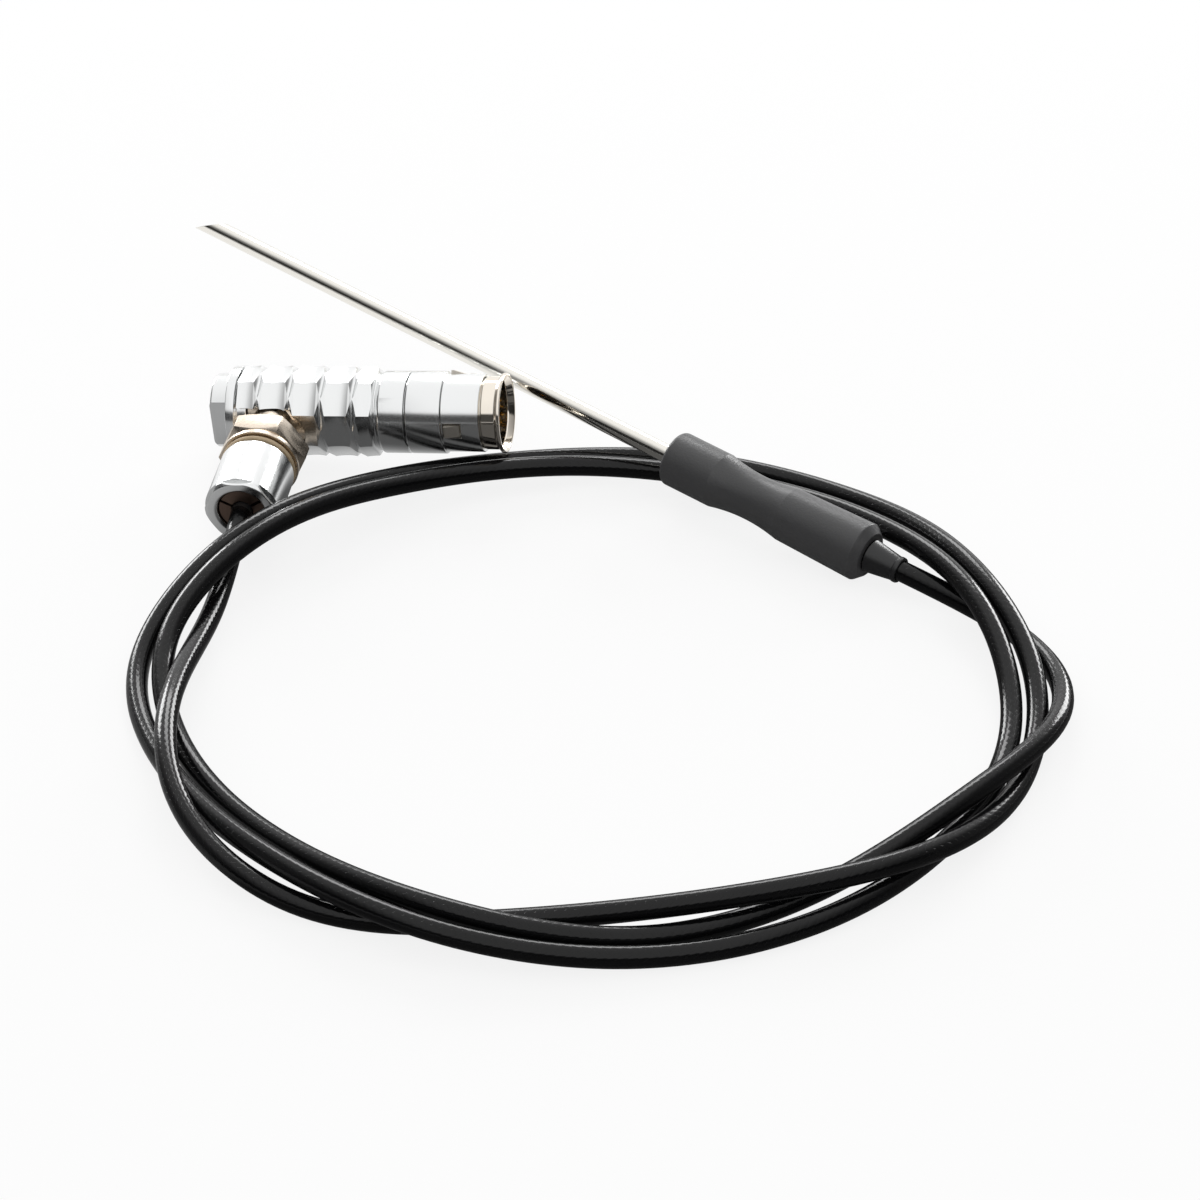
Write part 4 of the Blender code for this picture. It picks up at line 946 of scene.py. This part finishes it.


# Table and light. A white sweep in a light tent with an open front: bright above and behind,
# dimmer to the sides, and dark low down on the camera's side, where metal mirrors the room.
# What metal mirrors of the sweep itself is a painted reflection.

table_mesh = bpy.data.meshes.new("table")
work = bmesh.new()
bmesh.ops.create_grid(work, x_segments=1, y_segments=1, size=6.0)
work.to_mesh(table_mesh)
work.free()
table = bpy.data.objects.new("table", table_mesh)
scene.collection.objects.link(table)
sweep = bpy.data.materials.new("White sweep")
sweep.use_nodes = True
tree = sweep.node_tree
paper = tree.nodes["Principled BSDF"]
paper.inputs["Base Color"].default_value = colour("#e8e8e8")
paper.inputs["Roughness"].default_value = 0.9
paper.inputs["Specular IOR Level"].default_value = 0.0
# The camera sees the sweep white, with a faint shadow
path = add(tree, "ShaderNodeLightPath")
glow = add(tree, "ShaderNodeEmission", {"Color": (1.0, 1.0, 1.0, 1.0), "Strength": 1.0})
seen_white = add(tree, "ShaderNodeMixShader", {0: 0.85},
                 {1: paper.outputs[0], 2: glow.outputs[0]})
# Painted reflection: glossy rays see the sweep glow white behind the plug, painted dark
# before it and painted grey to the picture's left, standing in for the room's shade
place = add(tree, "ShaderNodeTexCoord")
nearness = add(tree, "ShaderNodeVectorMath", {1: (-0.597, 0.802, 0.0)},
               {0: place.outputs["Object"]}, operation="DOT_PRODUCT")
painted_front_dark = add(
    tree, "ShaderNodeMapRange", {"From Min": -0.004, "From Max": 0.014, "To Min": 1.0,
                                 "To Max": 0.10},
    {"Value": nearness.outputs["Value"]}, interpolation_type="SMOOTHSTEP",
)
leftward = add(tree, "ShaderNodeVectorMath", {1: (0.802, 0.597, 0.0)},
               {0: place.outputs["Object"]}, operation="DOT_PRODUCT")
painted_grey_side = add(
    tree, "ShaderNodeMapRange", {"From Min": 0.036, "From Max": 0.058, "To Min": 0.0,
                                 "To Max": 0.40},
    {"Value": leftward.outputs["Value"]}, interpolation_type="SMOOTHSTEP",
)
painted_reflection_level = add(tree, "ShaderNodeMath",
                  links={0: painted_front_dark.outputs["Result"], 1: painted_grey_side.outputs["Result"]},
                  operation="MAXIMUM")
# Painted reflection: a glow whose strength is set by place on the table, not by any lamp
painted_reflection = add(tree, "ShaderNodeEmission", {"Color": (1.0, 1.0, 1.0, 1.0)},
               {"Strength": painted_reflection_level.outputs[0]})
from_gloss = add(tree, "ShaderNodeMixShader",
                 links={0: path.outputs["Is Glossy Ray"], 1: paper.outputs[0],
                        2: painted_reflection.outputs[0]})
choice = add(tree, "ShaderNodeMixShader",
             links={0: path.outputs["Is Camera Ray"], 1: from_gloss.outputs[0],
                    2: seen_white.outputs[0]})
tree.links.new(choice.outputs[0], tree.nodes["Material Output"].inputs["Surface"])
table_mesh.materials.append(sweep)

world = bpy.data.worlds.new("Light tent")
scene.world = world
world.use_nodes = True
tree = world.node_tree
place = add(tree, "ShaderNodeTexCoord")
behind = add(tree, "ShaderNodeVectorMath", {1: (0.597, -0.802, 0.0)},
             {0: place.outputs["Generated"]}, operation="DOT_PRODUCT")
parts = add(tree, "ShaderNodeSeparateXYZ", links={"Vector": place.outputs["Generated"]})
rear_half = add(
    tree, "ShaderNodeMapRange", {"From Min": -0.45, "From Max": 0.05, "To Min": 0.06,
                                 "To Max": 1.0},
    {"Value": behind.outputs["Value"]}, interpolation_type="SMOOTHSTEP",
)
overhead = add(
    tree, "ShaderNodeMapRange", {"From Min": 0.34, "From Max": 0.46, "To Min": 0.0,
                                 "To Max": 1.0},
    {"Value": parts.outputs["Z"]}, interpolation_type="SMOOTHSTEP",
)
tent = add(tree, "ShaderNodeMath",
           links={0: rear_half.outputs["Result"], 1: overhead.outputs["Result"]},
           operation="MAXIMUM")
across = add(tree, "ShaderNodeVectorMath", {1: (-0.802, -0.597, 0.0)},
             {0: place.outputs["Generated"]}, operation="DOT_PRODUCT")
sideways = add(tree, "ShaderNodeMath", links={0: across.outputs["Value"]},
               operation="ABSOLUTE")
sides = add(
    tree, "ShaderNodeMapRange", {"From Min": 0.38, "From Max": 0.86, "To Min": 1.08,
                                 "To Max": 0.20},
    {"Value": sideways.outputs[0]}, interpolation_type="SMOOTHSTEP",
)
level = add(tree, "ShaderNodeMath", links={0: tent.outputs[0], 1: sides.outputs["Result"]},
            operation="MULTIPLY")
path = add(tree, "ShaderNodeLightPath")
shown = add(tree, "ShaderNodeMix", {3: 1.0},
            {0: path.outputs["Is Camera Ray"], 2: level.outputs[0]})
backdrop = tree.nodes["Background"]
backdrop.inputs["Color"].default_value = (1.0, 1.0, 1.0, 1.0)
tree.links.new(shown.outputs[0], backdrop.inputs["Strength"])

# Two low soft boxes behind, which light the edges of the cable, and one higher between them
for name, direction, distance, size, power in (
    ("left_box", (0.936, -0.337, 0.28), 1.3, (0.42, 0.46), 6.0),
    ("right_box", (0.054, -0.993, 0.28), 1.3, (0.42, 0.46), 6.0),
    ("back_box", (0.495, -0.665, 0.559), 1.2, (0.40, 0.40), 3.0),
):
    lamp_data = bpy.data.lights.new(name, "AREA")
    lamp_data.shape = "RECTANGLE"
    lamp_data.size, lamp_data.size_y = size
    lamp_data.energy = power
    lamp = bpy.data.objects.new(name, lamp_data)
    scene.collection.objects.link(lamp)
    towards = Vector(direction).normalized()
    lamp.location = Vector((-0.03, 0.04, 0.0)) + towards * distance
    lamp.rotation_mode = "QUATERNION"
    lamp.rotation_quaternion = towards.to_track_quat("Z", "Y")
